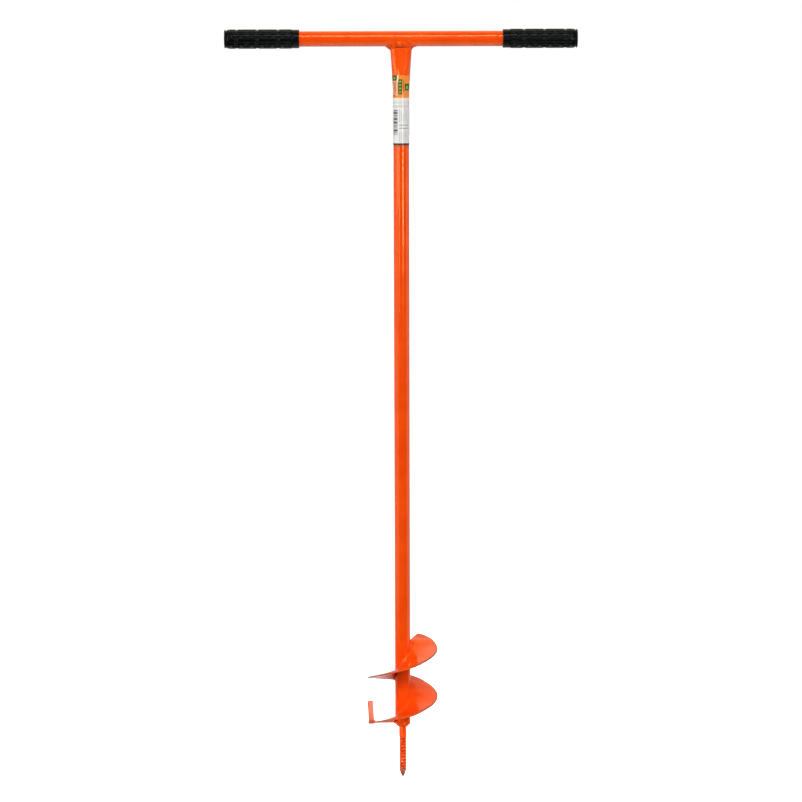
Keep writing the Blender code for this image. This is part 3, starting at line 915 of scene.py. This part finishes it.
@dataclass
class Shaft:
    """The shaft with its squeezed neck, and the label round it."""

    shape: ShaftShape
    steps: int = 128  # facets round it
    neck_rings: int = 44  # rings along the neck
    lip: float = 0.0004  # radius of the rounded edge at its foot
    flatness: float = 0.8  # how far the neck's section is pressed from an oval towards a flat one
    side_shade: float = 0.4  # how dark the painted shade along the neck's tight sides is, from 0 to 1
    # How dark the painted shadow below the label's lower edge is at each distance under it, from 0 to 1.
    label_shadow: tuple[Pair, ...] = ((0.0050, 0.0), (0.0030, 0.25), (0.0012, 0.8), (0.0, 1.0), (-0.01, 0.0))
    crease: Pair = (0.00022, 0.0011)  # depth and width of the crease that the press left on the neck's front
    crease_line: Pair = (-0.0078, 0.0060)  # its place across at the seam, and how far it leans to the neck's foot
    hollow: Pair = (0.00035, 0.006)  # depth and width of the hollow beside it
    # Depth and width of the dimples under the weld, and their distance from the seam.
    dimple: Triple = (0.00050, 0.0012, 0.0048)
    dimple_breaks: Pair = (0.0045, 0.25)  # length of the breaks between them, and how soft they are
    waviness: Pair = (0.00010, 0.011)  # height and length of the neck's waves
    belts: tuple[float, ...] = (0.2, 0.4, 0.6, 0.8)  # heights of the rings of points between its ends

    def pressed_point(self, angle: float, height: float) -> Vector:
        """Finds a point on the neck, whose front and back the press left flatter over the label.

        Args:
            angle: angle of the section's parameter.
            height: height of the point.

        Returns:
            The point.
        """
        shape = self.shape
        half_width, half_depth = shape.half_axes(height)
        share = (height - shape.neck_start) / shape.neck_length
        power = 2.0 / (2.0 + self.flatness * eased(share, 0.33, 0.70))
        across, deep = cosine(angle), sine(angle)
        x = half_width * math.copysign(abs(across) ** power, across)
        y = half_depth * math.copysign(abs(deep) ** power, deep)
        return Vector((x, y, height))

    def dent(self, point: Vector) -> float:
        """Gives the depth of the marks that the press left on the neck.

        Args:
            point: point on the neck's outside.

        Returns:
            The depth, zero on the round tube.
        """
        shape = self.shape
        share = (point.z - shape.neck_start) / shape.neck_length
        if share <= 0.0:
            return 0.0
        crease_x = self.crease_line[0] + self.crease_line[1] * (1.0 - share)
        crease = self.crease[0] * hump(point.x - crease_x, self.crease[1]) * eased(point.y, 0.0, -0.002)
        hollow = self.hollow[0] * hump(point.x, self.hollow[1]) * eased(share, 0.15, 0.7)
        wave = self.waviness[0] * ripple(point, self.waviness[1])
        depth, width, drop = self.dimple
        dimple = depth * hump(point.z - shape.seam + drop, width) * eased(point.y, 0.0, -0.003)
        length, softness = self.dimple_breaks
        dimple *= eased(ripple(point, length), -softness, softness)
        return eased(share, 0.0, 0.3) * (crease + hollow + wave) - dimple

    def build_tube(self) -> bpy.types.Object:
        """Builds the tube, open at both ends like the real one.

        Returns:
            The tube.
        """
        shape = self.shape
        angles = [360 * i / self.steps for i in range(self.steps)]
        sides = [eased(abs(cosine(a)), 0.70, 1.0) for a in angles]
        rows = [(shape.foot, self.lip - shape.wall), (shape.foot, -self.lip)]
        rows += [(shape.foot + self.lip * (1 - cosine(t)), -self.lip * (1 - sine(t))) for t in (30.0, 60.0, 90.0)]
        rows += [(height, 0.0) for height in self.belts]
        wear_and_shade = [0.0] * self.steps * len(rows)
        # rings under the label carry the painted shadow below its lower edge
        rows += [(LABEL_FOOT - drop, 0.0) for drop, _ in self.label_shadow]
        wear_and_shade += [darkness for _, darkness in self.label_shadow for _ in angles]
        rings = [[shape.point(a, height, offset) for a in angles] for height, offset in rows]
        for i in range(self.neck_rings + 1):
            share = i / self.neck_rings
            ring = []
            for angle in angles:
                top = shape.under_bar(shape.point(angle, shape.seam).y, shape.gap / 2)
                height = shape.neck_start + (top - shape.neck_start) * share
                plain = self.pressed_point(angle, height)
                ring.append(plain - shape.normal(angle, height) * self.dent(plain))
            rings.append(ring)
            # painted shade along the neck's tight left and right sides
            wear_and_shade.extend(self.side_shade * side * eased(share, 0.0, 0.5) for side in sides)
        for height in (shape.seam, shape.neck_start, shape.foot + self.lip):
            rings.append([shape.point(a, height, -shape.wall) for a in angles])
        return lofted("shaft_outside", rings, closed_path=True, wear_and_shade=[*wear_and_shade, *[0.0] * 3 * self.steps])

    def build(self, coat: PowderCoat, print_finish: PrintedLabel) -> None:
        """Builds the tube and dresses the label."""
        set_piece(self.build_tube(), coat.material(), ["shaft_tube"])
        dress_node("label", print_finish.material())


# Grips


class PadRow(Enum):
    """How the pads lie in one row of a grip: pitch, length, and distance of a pad's middle from the closed end."""

    SHORT = (0.01430, 0.0116, 0.0596)
    STAGGERED = (0.01430, 0.0116, 0.05245)
    LONG = (0.02860, 0.0258, 0.0598)


@dataclass
class Grip:
    """Moulded sleeve with rows of raised pads, a collar at its mouth and a flange at its closed end."""

    shape: ShaftShape  # the shaft's outside, which knows the crossbar's size
    side: Side  # end of the crossbar that it is on
    end: float = 0.2446  # distance of its closed end from the shaft's axis
    length: float = 0.1035
    pad_radius: float = 0.0133  # distance of the pads' tops from the crossbar's axis
    floor_radius: float = 0.0124  # distance of the grooves' floor
    flange_radius: float = 0.0128  # radius of the flange at the closed end
    flange: float = 0.0017  # its thickness
    neck_radius: float = 0.0118  # radius of the groove behind the flange
    neck: float = 0.0013  # width of that groove
    shoulder: float = 0.0035  # length of the rounded shoulder after it
    collar: float = 0.0100  # length of the plain collar at the mouth
    collar_radius: float = 0.0128  # its radius
    collar_step: float = 0.0008  # length of the step down behind it
    lip: Pair = (0.0006, 0.0007)  # depth and length of its rounded edge
    hollow: tuple[Pair, ...] = ((0.00035, 0.0006), (0.0003, 0.0080), (0.0, 0.0088))  # rings of the end's hollow
    end_wall: float = 0.003  # thickness of the closed end
    pad_width: float = 0.0054  # arc width of a pad
    pad_corner: float = 0.0012  # radius of its corners
    pad_slope: Pair = (0.0004, -0.0009)  # distance outside its edge where its slope starts and ends
    first_row: float = 22.0  # angle of the first row's middle over the front
    # Distance from the closed end where the grooves start, and where they are full.
    pad_zone: Pair = (0.0070, 0.0085)
    # Height and pitch of the ribs by the flange, and where they end.
    ribs: Triple = (0.00018, 0.0012, 0.0078)
    pad_fade: float = 0.0015  # distance from the collar over which the grooves start
    bevel: float = 0.0004  # bevel of the flange's edges
    steps: int = 168  # points round the grip
    stride: float = 0.0005  # distance between its rings
    # How the pads lie in each row round the grip, from just above the front upwards.
    rows: tuple[PadRow, ...] = (PadRow.SHORT, PadRow.STAGGERED, PadRow.LONG) * 4

    def pad_share(self, from_end: float, turn: float) -> float:
        """Tells how much of a pad's height a point has.

        Args:
            from_end: distance from the closed end.
            turn: angle round the bar, from the front upwards.

        Returns:
            0 in a groove and 1 on a pad.
        """
        row_angle = 360 / len(self.rows)
        place = (turn - self.first_row + row_angle / 2) % 360
        row = self.rows[int(place // row_angle)]
        across = math.radians(place % row_angle - row_angle / 2) * self.pad_radius
        pitch, pad_length, middle = row.value
        along = (from_end - middle + pitch / 2) % pitch - pitch / 2
        dx = abs(along) - (pad_length / 2 - self.pad_corner)
        dy = abs(across) - (self.pad_width / 2 - self.pad_corner)
        outside = math.hypot(max(dx, 0.0), max(dy, 0.0)) + min(max(dx, dy), 0.0) - self.pad_corner
        return eased(outside, *self.pad_slope)

    def radius(self, from_end: float, turn: float) -> float:
        """Finds the grip's outside.

        Args:
            from_end: distance from the closed end.
            turn: angle round the bar, from the front upwards.

        Returns:
            Its distance from the crossbar's axis.
        """
        body_start = self.flange + self.neck
        if from_end < self.flange:
            edge = min(from_end, self.flange - from_end)
            return self.flange_radius - self.bevel * (1 - eased(edge, 0.0, self.bevel))
        if from_end < body_start:
            return self.neck_radius
        from_mouth = self.length - from_end
        if from_mouth < self.collar:
            step = eased(from_mouth, self.collar - self.collar_step, self.collar)
            lip = self.lip[0] * (1 - eased(from_mouth, 0.0, self.lip[1]))
            return self.collar_radius + step * (self.floor_radius - self.collar_radius) - lip
        shoulder_share = min(1.0, (from_end - body_start) / self.shoulder)
        rise = math.sqrt(1 - (1 - shoulder_share) ** 2)
        top = self.neck_radius + (self.pad_radius - self.neck_radius) * rise
        pads = self.pad_share(from_end, turn)
        ends = min(eased(from_end, *self.pad_zone), eased(from_mouth, self.collar, self.collar + self.pad_fade))
        depth, pitch, last = self.ribs
        rib = depth * (0.5 + 0.5 * math.cos(math.tau * from_end / pitch)) if from_end < last else 0.0
        dip = self.pad_radius - self.floor_radius
        return top - dip * ends * (1 - pads) - rib

    def ring(self, from_end: float, radius: float | None = None) -> Ring:
        """Makes one ring round the bar.

        Args:
            from_end: distance from the closed end.
            radius: its radius, or None for the grip's outside.

        Returns:
            The ring's points.
        """
        x = self.side.value * (self.end - from_end)
        points = []
        for i in range(self.steps):
            turn = 360 * i / self.steps
            reach = self.radius(from_end, turn) if radius is None else radius
            points.append(Vector((x, -reach * cosine(turn), self.shape.handle_height + reach * sine(turn))))
        return points

    def build(self, plastic: MouldedPlastic) -> None:
        """Builds the grip.

        Args:
            plastic: its finish.
        """
        rings = [self.ring(from_end, radius) for from_end, radius in self.hollow]
        rings.append(self.ring(0.0, self.flange_radius - self.bevel))
        body = self.flange + self.neck
        stops = (self.bevel, self.flange - self.bevel, self.flange, self.flange + HAIR, body - HAIR)
        rings.extend(self.ring(stop) for stop in stops)
        count = round((self.length - body) / self.stride)
        rings.extend(self.ring(body + (self.length - body) * i / count) for i in range(count + 1))
        bore = self.shape.bar_radius + self.shape.gap
        rings.append(self.ring(self.length, bore))
        rings.append(self.ring(self.end_wall, bore))
        piece = lofted(f"grip_{self.side.name.lower()}_moulding", rings)
        set_piece(piece, plastic.material(), [f"grip_{self.side.name.lower()}"])


# Flights


class Face(Enum):
    """Which side of a flight's sheet something is on."""

    TOP = 1
    UNDER = -1


@dataclass
class Flight:
    """One screw flight of sheet steel with rounded edges, its root welds and the coat that fills its root."""

    shape: ShaftShape
    name: str
    lead_angle: float  # angle of its leading edge
    lead_height: float  # height of the leading edge's mid-plane
    weld_spans: tuple[Pair, ...]  # the welds' first and last angle from the leading edge
    radius: float = 0.049997
    root_radius: float = 0.0113
    pitch: float = 0.0786  # its rise in one turn
    thickness: float = 0.002
    sweep: float = 267.3  # angle that it runs through
    trailing_offset: float = 0.0059  # how far the trailing cut passes beside the axis
    edge: float = 0.00045  # radius of its rounded edges
    corner: float = 0.006  # radius of its trailing corner
    # Places where the sheet was bent by hand, as middle and half span from the leading edge, and rise.
    bends: tuple[Triple, ...] = ()
    # Where its root coat is thickest over the sheet, as middle and half span, and extra leg.
    swell: Triple = (0.0, 1.0, 0.0)
    # Width of the band along the rim and along the two ends where the coat is darkened: worn thin, and painted shade
    # on the rim.
    edge_bands: Pair = (0.0034, 0.0022)
    # How much it is darkened there, by thin coat and painted shade, and between which shares of the band's width.
    thinned: tuple[Triple, ...] = ((0.70, 1.0, 0.28), (0.30, 0.14, 0.0))
    weld_leg: float = 0.0028  # leg of the root welds
    # Shape of their faces.
    weld_face: BeadFace = BeadFace(8, 0.0015, 0.0010, 0.00018, ((0.00022, 0.004), (0.00010, 0.0014)))
    weld_bow: float = 0.0001  # how far their faces bulge
    weld_depth: Pair = (0.0005, 0.0004)  # how far their hidden side lies in the tube, and in the sheet
    weld_runout: Pair = (0.12, 7.0)  # the welds' size at their ends, and angle over which they grow
    waviness: Pair = (0.00035, 0.030)  # height and length of the sheet's waves
    lit_front: Triple = (26.0, 13.0, 0.85)  # angles from the front between which the painted shade on its edges fades out, where the rim faces the lit front, and how much
    coat_leg: Triple = (0.0024, 0.0005, 9.0)  # leg of the root coat, how much it varies, and over what angle
    coat_hollow: Pair = (0.28, 0.55)  # how far the root coat's face is drawn towards the root, and its roundness
    coat_step: float = 3.0  # angle between the root coat's sections
    angle_step: float = 1.5  # angle between its sections
    sheet_steps: int = 40  # steps from root to rim

    def climb(self, turned: float) -> float:
        """Returns the rise over an angle."""
        return self.pitch * turned / 360

    def point(self, radius: float, turned: float, offset: float) -> Vector:
        """Finds a point in or on the sheet.

        Args:
            radius: distance from the shaft's axis.
            turned: angle from the leading edge.
            offset: distance over the sheet's mid-plane, square to it.

        Returns:
            The point.
        """
        angle = self.lead_angle + turned
        slope = math.atan(self.pitch / (math.tau * radius))
        normal = UP * math.cos(slope) - tangent(angle) * math.sin(slope)
        middle = polar(radius, angle, self.lead_height + self.climb(turned))
        free = eased(radius, self.root_radius, self.radius)
        wave = self.waviness[0] * free * ripple(middle + UP * 0.3, self.waviness[1])
        bent = sum(rise * eased(abs(turned - place), half_span, 0.0) for place, half_span, rise in self.bends)
        return middle + normal * (offset + wave) + UP * bent

    def last_turn(self, radius: float) -> float:
        """Finds where the sheet ends, on its trailing cut with the rounded corner.

        Args:
            radius: distance from the shaft's axis.

        Returns:
            The angle from the leading edge.
        """
        into_corner = min(self.corner, max(0.0, radius - self.radius + self.corner))
        trimmed = self.corner - math.sqrt(self.corner**2 - into_corner**2)
        return self.sweep - math.degrees(math.asin(self.trailing_offset / radius) + trimmed / radius)

    def section(self) -> list[Pair]:
        """Lays out the sheet's section.

        Returns:
            Points as radius and offset from the mid-plane, out along the underside and back over the top.
        """
        flat = self.radius - self.edge - self.root_radius
        out = [self.root_radius + flat * i / self.sheet_steps for i in range(self.sheet_steps + 1)]
        half = self.thickness / 2
        rim = [(turn, self.radius - self.edge + self.edge * cosine(turn)) for turn in (-60.0, -30.0, 0.0)]
        under = [(r, -half) for r in out]
        edge_low = [(r, -half + self.edge + self.edge * sine(turn)) for turn, r in rim]
        edge_high = [(r, -offset) for r, offset in reversed(edge_low)]
        return [*under, *edge_low, *edge_high, *((r, half) for r in reversed(out))]

    def build_sheet(self) -> bpy.types.Object:
        """Builds the sheet.

        Returns:
            The sheet.
        """
        section = self.section()
        half = self.thickness / 2
        count = math.ceil(self.sweep / self.angle_step)
        stations = [(share / count, 0.0, 0.0) for share in range(1, count)]
        ends = [(turn, self.edge * (1 - cosine(turn))) for turn in (0.0, 30.0, 60.0, 90.0)]
        lead = [(0.0, inset, self.edge * (1 - sine(turn))) for turn, inset in ends]
        trail = [(1.0, -inset, self.edge * (1 - sine(turn))) for turn, inset in reversed(ends)]
        rings, wear_and_shade = [], []
        for share, inset, thinned in [*lead, *stations, *trail]:
            ring = []
            for radius, offset in section:
                turned = share * self.last_turn(radius) + math.degrees(inset / radius)
                pulled = radius - thinned if radius > self.radius - self.edge else radius
                ring.append(self.point(pulled, turned, offset * (1 - thinned / half)))
                to_rim = (self.radius - radius) / self.edge_bands[0]
                to_end = math.radians(min(turned, self.last_turn(radius) - turned)) * radius / self.edge_bands[1]
                # edges darkened by worn thin coat and by painted shade, which is lifted on the rim facing the front
                lit_front = eased(abs((self.lead_angle + turned) % 360 - FRONT), *self.lit_front[:2])
                wear_and_shade.append(self.edge_wear_and_shade(min(to_rim, to_end)) * (1.0 - self.lit_front[2] * lit_front))
            rings.append(ring)
        return lofted(f"{self.name}_sheet", rings, wear_and_shade=wear_and_shade)

    def edge_wear_and_shade(self, to_edge: float) -> float:
        """Returns how much the coat is darkened, by wearing thin and by painted shade, at this distance from the
        sheet's edge, as a share of the band's width.
        """
        return sum(much * eased(to_edge, start, end) for much, start, end in self.thinned)

    def bead_ring(self, turned: float, size: float) -> Ring:
        """Makes a root weld's section.

        Args:
            turned: angle from the leading edge.
            size: share of the weld's full leg.

        Returns:
            The section's points.
        """
        leg = self.weld_leg * size
        half = self.thickness / 2
        corner = self.point(self.root_radius, turned, half)
        inwards, down = self.weld_depth
        toe = self.point(self.root_radius + leg, turned, half - SINK)
        foot = self.point(self.shape.radius + SKIN, turned, half + leg)
        inner = corner - (corner - UP * corner.z).normalized() * inwards
        outwards = ((toe - corner).normalized() + (foot - corner).normalized()).normalized()
        arc = math.radians(turned) * self.root_radius
        face = self.weld_face.points(toe, foot, outwards, arc, self.weld_bow * size)
        return [inner - UP * down, *face, foot - (foot - UP * foot.z).normalized() * inwards]

    def build_weld(self, span: Pair, name: str) -> bpy.types.Object:
        """Builds one root weld.

        Args:
            span: its first and last angle from the leading edge.
            name: name of the piece.

        Returns:
            The weld.
        """
        start, end = span
        least, grown = self.weld_runout
        count = math.ceil((end - start) / self.angle_step)
        rings = []
        for i in range(count + 1):
            turned = start + (end - start) * i / count
            from_end = min(turned - start, end - turned)
            size = least + (1.0 - least) * math.sqrt(min(1.0, from_end / grown))
            rings.append(self.bead_ring(turned, size))
        return lofted(name, rings)

    def build_root_coat(self, face: Face) -> bpy.types.Object:
        """Builds the thin fillet of coat along the root.

        Args:
            face: side of the sheet that it is on.

        Returns:
            The fillet.
        """
        side = face.value
        half = self.thickness / 2
        count = math.ceil(self.sweep / self.coat_step)
        least, varied, swing = self.coat_leg
        drawn, bent = self.coat_hollow
        last = self.last_turn(self.root_radius)
        rings = []
        for i in range(count + 1):
            turned = last * i / count
            leg = least + varied * ripple(Vector((turned, side * 4.0, self.lead_height * 50)), swing)
            leg += max(0.0, side * self.swell[2]) * eased(abs(turned - self.swell[0]), self.swell[1], 0.0)
            toe = self.point(self.root_radius + leg, turned, side * (half - SKIN))
            wall = self.point(self.shape.radius - SKIN, turned, side * (half + leg))
            root = self.point(self.shape.radius - SINK, turned, side * (half - 2 * SINK))
            hollow = toe.lerp(wall, 0.5).lerp(root, drawn)
            rings.append([root, toe, toe.lerp(hollow, bent), hollow, wall.lerp(hollow, bent), wall])
        return lofted(f"{self.name}_root_coat_{face.name.lower()}", rings, sharp_angle=75.0)

    def build(self, coat: PowderCoat) -> None:
        """Builds the sheet, its welds and the coat at its root.

        Args:
            coat: finish of the sheet.
        """
        set_piece(self.build_sheet(), coat.material(), [self.name])
        for number, span in enumerate(self.weld_spans, start=1):
            node = f"{self.name}_weld_{number}"
            set_piece(self.build_weld(span, f"{self.name}_bead_{number}"), RootBead().material(), [node])
        # the root coat under the sheet is darker: painted shade under the flight
        for face, filling in ((Face.TOP, RootCoat()), (Face.UNDER, ShadedRootCoat())):
            set_piece(self.build_root_coat(face), filling.material())


# Cutter tooth and pilot


@dataclass
class CutterTooth:
    """The upright flat-bar tooth at the lower flight's leading corner, and its weld."""

    flight: Flight  # the flight that carries it
    radius: float = 0.0448  # distance of its middle from the shaft's axis
    width: float = 0.008
    leg: float = 0.0022
    runout: float = 0.0045  # how far the weld runs on towards the shaft
    stations: int = 26  # steps along the weld
    bow: float = 0.00035  # how far its face bulges
    inset: float = 0.0009  # distance of its outer end from the tooth's side
    start: Pair = (0.3, 0.0012)  # its size at that end, and length over which it grows
    tail: float = 0.35  # its size at the inner end
    face: BeadFace = BeadFace(6, 0.0013, 0.0, 0.0001, ((0.00016, 0.003),))  # shape of the weld's face

    def bead_ring(self, radius: float, size: float) -> Ring:
        """Makes the weld's section.

        Args:
            radius: distance from the shaft's axis.
            size: share of the full leg.

        Returns:
            The section's points.
        """
        flight = self.flight
        leg = self.leg * size
        half = flight.thickness / 2
        face = -half * math.sin(math.atan(flight.pitch / (math.tau * (self.radius - self.width))))
        turned = math.degrees(face / radius)
        corner = flight.point(radius, turned, half)
        toe = flight.point(radius, turned + math.degrees(leg / radius), half - SINK)
        along = tangent(flight.lead_angle)
        behind = corner - along * flight.shape.gap * 2
        foot = behind + UP * leg
        outwards = UP * 0.6 + along * 0.8
        return [behind - UP * 0.0003, *self.face.points(toe, foot, outwards, radius, self.bow * size)]

    def build(self, reflection_coat: ToothCoatPaintedReflection, bead: CoatedBead) -> None:
        """Dresses the tooth and builds its weld.

        Args:
            reflection_coat: finish of the tooth, with its painted reflection.
            bead: finish of the weld.
        """
        outer = self.radius + self.width / 2 - self.inset
        inner = self.radius - self.width / 2 - self.runout
        rings = []
        for i in range(self.stations + 1):
            radius = outer + (inner - outer) * i / self.stations
            start = max(self.start[0], math.sqrt(min(1.0, (outer - radius) / self.start[1])))
            size = start * (self.tail + (1.0 - self.tail) * eased(radius, inner, inner + self.runout))
            rings.append(self.bead_ring(radius, size))
        dress_node("cutter_tooth", reflection_coat.material())
        set_piece(lofted("tooth_bead", rings), bead.material(), ["tooth_weld"])


@dataclass
class Pilot:
    """The lag screw that leads the auger in, and the bead that closes the shaft's end round it."""

    shape: ShaftShape
    shank_radius: float = 0.0053  # radius of the screw's shank
    plug: float = 0.003  # how far the bead reaches up into the shaft
    drop: float = 0.0042  # how far it reaches down on to the shank
    collar: float = 0.0008  # its thickness round the shank
    curve: Pair = (0.62, 1.15)  # powers that shape its face: inwards and down
    lumps: tuple[Pair, Pair] = ((0.0008, 0.006), (0.0003, 0.0022))  # height and length of its swells
    steps: int = 96  # points round it

    def profile(self) -> list[Triple]:
        """Lays out the bead's section.

        Returns:
            Points as radius, height and how uneven the bead is there.
        """
        bore = self.shape.radius - self.shape.wall - self.shape.gap
        rim = self.shape.radius - 0.0002
        top = self.shape.foot - SINK
        low = self.shape.foot - self.drop
        plug_top = self.shape.foot + self.plug
        neck = self.shank_radius + self.collar
        points = [(bore, plug_top, 0.0), (bore, top, 0.0), (rim, top, 0.0)]
        for step in range(1, 10):
            share = step / 10
            radius = neck + (rim - neck) * (1 - share) ** self.curve[0]
            points.append((radius, top - self.drop * share ** self.curve[1], math.sin(math.pi * share)))
        shank = self.shank_radius - SINK
        return [*points, (neck, low, 0.2), (shank, low - 0.0003, 0.0), (shank, plug_top, 0.0)]

    def build(self, screw_coat: CoatedScrew, bead: CoatedBead) -> None:
        """Dresses the screw and builds the bead.

        Args:
            screw_coat: finish of the screw.
            bead: finish of the weld.
        """
        rings = []
        (coarse, long), (fine, short) = self.lumps
        for radius, height, uneven in self.profile():
            ring = []
            for i in range(self.steps):
                angle = 360 * i / self.steps
                place = polar(radius, angle, height)
                lump = coarse * ripple(place + UP * 0.05, long) + fine * ripple(place, short)
                ring.append(polar(radius + uneven * lump, angle, height + 0.5 * uneven * lump))
            rings.append(ring)
        dress_node("pilot_screw", screw_coat.material())
        set_piece(lofted("pilot_bead", rings, closed_path=True), bead.material(), ["pilot_weld"])


# Studio


class Reach(Enum):
    """What a light adds: light on matt surfaces, and its mirror image in glossy ones."""

    BOTH = (True, True)
    MATT = (True, False)
    GLOSS = (False, True)


@dataclass(frozen=True)
class SoftLight:
    """A rectangular studio light that faces the auger."""

    name: str
    azimuth: float  # angle from the camera's side towards +X
    elevation: float  # angle over the horizon
    distance: float
    width: float
    height: float
    radiance: float  # brightness of its face, where white paper in full light is 1
    target_height: float  # height of the point that it faces
    reach: Reach = Reach.BOTH
    colour: Colour = (1.0, 1.0, 1.0)
    spread: float = 180.0  # angle of its beam

    def build(self) -> None:
        """Builds the light."""
        data = bpy.data.lights.new(self.name, "AREA")
        data.shape = "RECTANGLE"
        data.size = self.width
        data.size_y = self.height
        data.energy = self.radiance * math.pi * self.width * self.height
        data.color = self.colour
        data.spread = math.radians(self.spread)
        light = bpy.data.objects.new(self.name, data)
        level = cosine(self.elevation)
        back = Vector((sine(self.azimuth) * level, -cosine(self.azimuth) * level, sine(self.elevation)))
        light.location = UP * self.target_height + back * self.distance
        light.rotation_euler = back.to_track_quat("Z", "Y").to_euler()
        light.visible_camera = False
        light.visible_diffuse, light.visible_glossy = self.reach.value
        bpy.context.scene.collection.objects.link(light)
        LOG.info("light %s", self.name)


@dataclass
class Studio:
    """Camera, lights, surroundings and the pale floor."""

    camera_place: Triple = (-0.0013, -3.272, 0.9234)
    camera_tilt: float = 6.6258  # how far it looks down
    camera_roll: float = -0.16
    focal: float = 104.723  # its focal length in millimetres, on a sensor 36 mm wide
    front_level: float = 0.10  # brightness of the dark room on the camera's side
    back_level: float = 0.50  # brightness of the white backdrop behind the auger
    # Brightness of the floor that the auger sees, in front and behind.
    floor_levels: Pair = (0.12, 0.85)
    ceiling_level: float = 0.12  # brightness straight up
    backwards: Pair = (-0.15, 0.55)  # share of the way backwards where the room turns light, from start to end
    horizon: Pair = (-0.10, 0.02)  # the same upwards, where the floor ends and the walls start
    ceiling: Pair = (0.35, 0.85)  # and where the walls end and the ceiling starts
    floor_half: float = 6.0  # half the floor's side
    floor_steps: int = 24  # faces along its side
    floor_level: float = -0.0004  # its height
    floor_bend: Pair = (0.75, 0.4)  # share of its half side behind which it bends up, and how steeply
    lights: tuple[SoftLight, ...] = (
        SoftLight("strip_right", 23.6, 1.0, 2.0, 0.21, 0.42, 47.0, 0.85, Reach.GLOSS),
        SoftLight("panel_left", -52.0, 1.0, 2.0, 1.10, 0.50, 4.6, 0.98, Reach.GLOSS),
        SoftLight("strip_left", -31.0, 15.0, 2.0, 0.17, 1.25, 14.5, 0.64),
        SoftLight("softbox_front", 0.0, 39.0, 2.2, 1.25, 0.20, 17.0, 1.0),
        SoftLight("softbox_top", 0.0, 112.7, 3.1, 2.60, 3.36, 1.18, -0.31, colour=(1.0, 0.90, 0.60)),
        SoftLight("softbox_left", -75.0, 4.0, 2.4, 2.40, 2.2, 1.4, 0.60),
        SoftLight("softbox_right", 88.0, 4.0, 2.2, 1.40, 2.2, 1.5, 0.60),
        SoftLight("fill_right", 35.0, 10.0, 2.5, 1.2, 1.5, 1.2, 0.50, Reach.MATT),
        SoftLight("fill_low", -6.0, 22.0, 0.5, 0.45, 0.2, 1.3, 0.06, Reach.MATT),
        SoftLight("fill_pilot", -6.0, -14.0, 0.6, 0.16, 0.08, 1.05, 0.056, Reach.MATT, spread=14.0),
        SoftLight("key_front", 10.0, 26.0, 2.2, 1.0, 0.8, 5.8, 0.50, Reach.MATT),
        SoftLight("glow_under_bar", 0.0, -86.0, 0.5, 0.33, 0.85, 0.62, BAR_HEIGHT, Reach.GLOSS, spread=100.0),
    )

    def build_camera(self) -> None:
        """Sets the camera where the photograph was taken from."""
        data = bpy.data.cameras.new("camera")
        data.sensor_width = 36.0
        data.lens = self.focal
        camera = bpy.data.objects.new("camera", data)
        tilt = Matrix.Rotation(math.radians(90.0 - self.camera_tilt), 4, "X")
        roll = Matrix.Rotation(math.radians(self.camera_roll), 4, "Z")
        camera.matrix_world = Matrix.Translation(self.camera_place) @ tilt @ roll
        bpy.context.scene.collection.objects.link(camera)
        bpy.context.scene.camera = camera

    def build_surroundings(self) -> None:
        """Makes the world: white where the camera sees it, and a studio's light and dark sides for the auger."""
        world = bpy.data.worlds.new("studio")
        bpy.context.scene.world = world
        graph = NodeGraph(world)
        _, y, z = graph.axes(graph.coordinates["Generated"])
        behind = graph.span(y, *self.backwards)
        wall = graph.span(behind, 0.0, 1.0, self.front_level, self.back_level)
        ground = graph.span(behind, 0.0, 1.0, *self.floor_levels)
        level = graph.blend(graph.span(z, *self.horizon), ground, wall)
        level = graph.blend(graph.span(z, *self.ceiling), level, (self.ceiling_level,) * 3)
        seen = graph.node("ShaderNodeLightPath").outputs["Is Camera Ray"]
        graph.surface(graph.node("ShaderNodeBackground", {0: graph.blend(seen, level, (1.0, 1.0, 1.0))}).outputs[0])

    def build_floor(self) -> None:
        """Lays the pale floor."""
        bm = bmesh.new()
        bmesh.ops.create_grid(bm, x_segments=self.floor_steps, y_segments=self.floor_steps, size=self.floor_half)
        start, steepness = self.floor_bend
        for vertex in bm.verts:
            lift = max(0.0, vertex.co.y - start * self.floor_half)
            vertex.co.z = self.floor_level + steepness * lift**2
        floor = mesh_object("studio_floor", bm)
        floor.data.materials.append(FloorPaper().material())
        floor.visible_diffuse = False
        floor.visible_glossy = False
        floor.visible_shadow = False

    def build(self) -> None:
        """Builds the whole studio."""
        self.build_camera()
        self.build_surroundings()
        self.build_floor()
        for light in self.lights:
            light.build()
        view = bpy.context.scene.view_settings
        view.view_transform = "Standard"
        view.look = "None"


def main() -> None:
    """Builds the studio and dresses the auger, sub-assembly by sub-assembly."""
    logging.basicConfig(level=logging.INFO, format="%(name)s %(message)s")
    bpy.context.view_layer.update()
    coat, bead, plastic = PowderCoat(), CoatedBead(), MouldedPlastic()
    shape = ShaftShape()
    Studio().build()
    Handle(shape).build(coat, bead)
    Shaft(shape).build(coat, PrintedLabel())
    for side in Side:
        Grip(shape, side).build(plastic)
    bends = ((104.0, 34.0, -0.0013), (205.0, 28.0, -0.0006), (250.0, 30.0, 0.0012))
    welds = ((4.0, 44.0), (112.0, 150.0), (174.0, 224.0))
    lower = Flight(shape, "lower_flight", -178.0, 0.0795, welds, bends=bends, swell=(62.0, 30.0, 0.0026))
    bends = ((18.0, 60.0, -0.0019), (160.0, 60.0, 0.0021), (232.0, 26.0, 0.0012))
    welds = ((6.0, 40.0), (114.0, 166.0), (192.0, 232.0))
    upper = Flight(shape, "upper_flight", 162.0, 0.1427, welds, bends=bends)
    lower.build(RubbedCoat())
    upper.build(coat)
    CutterTooth(lower).build(ToothCoatPaintedReflection(), bead)
    Pilot(shape).build(CoatedScrew(), bead)


if __name__ == "__main__":
    main()
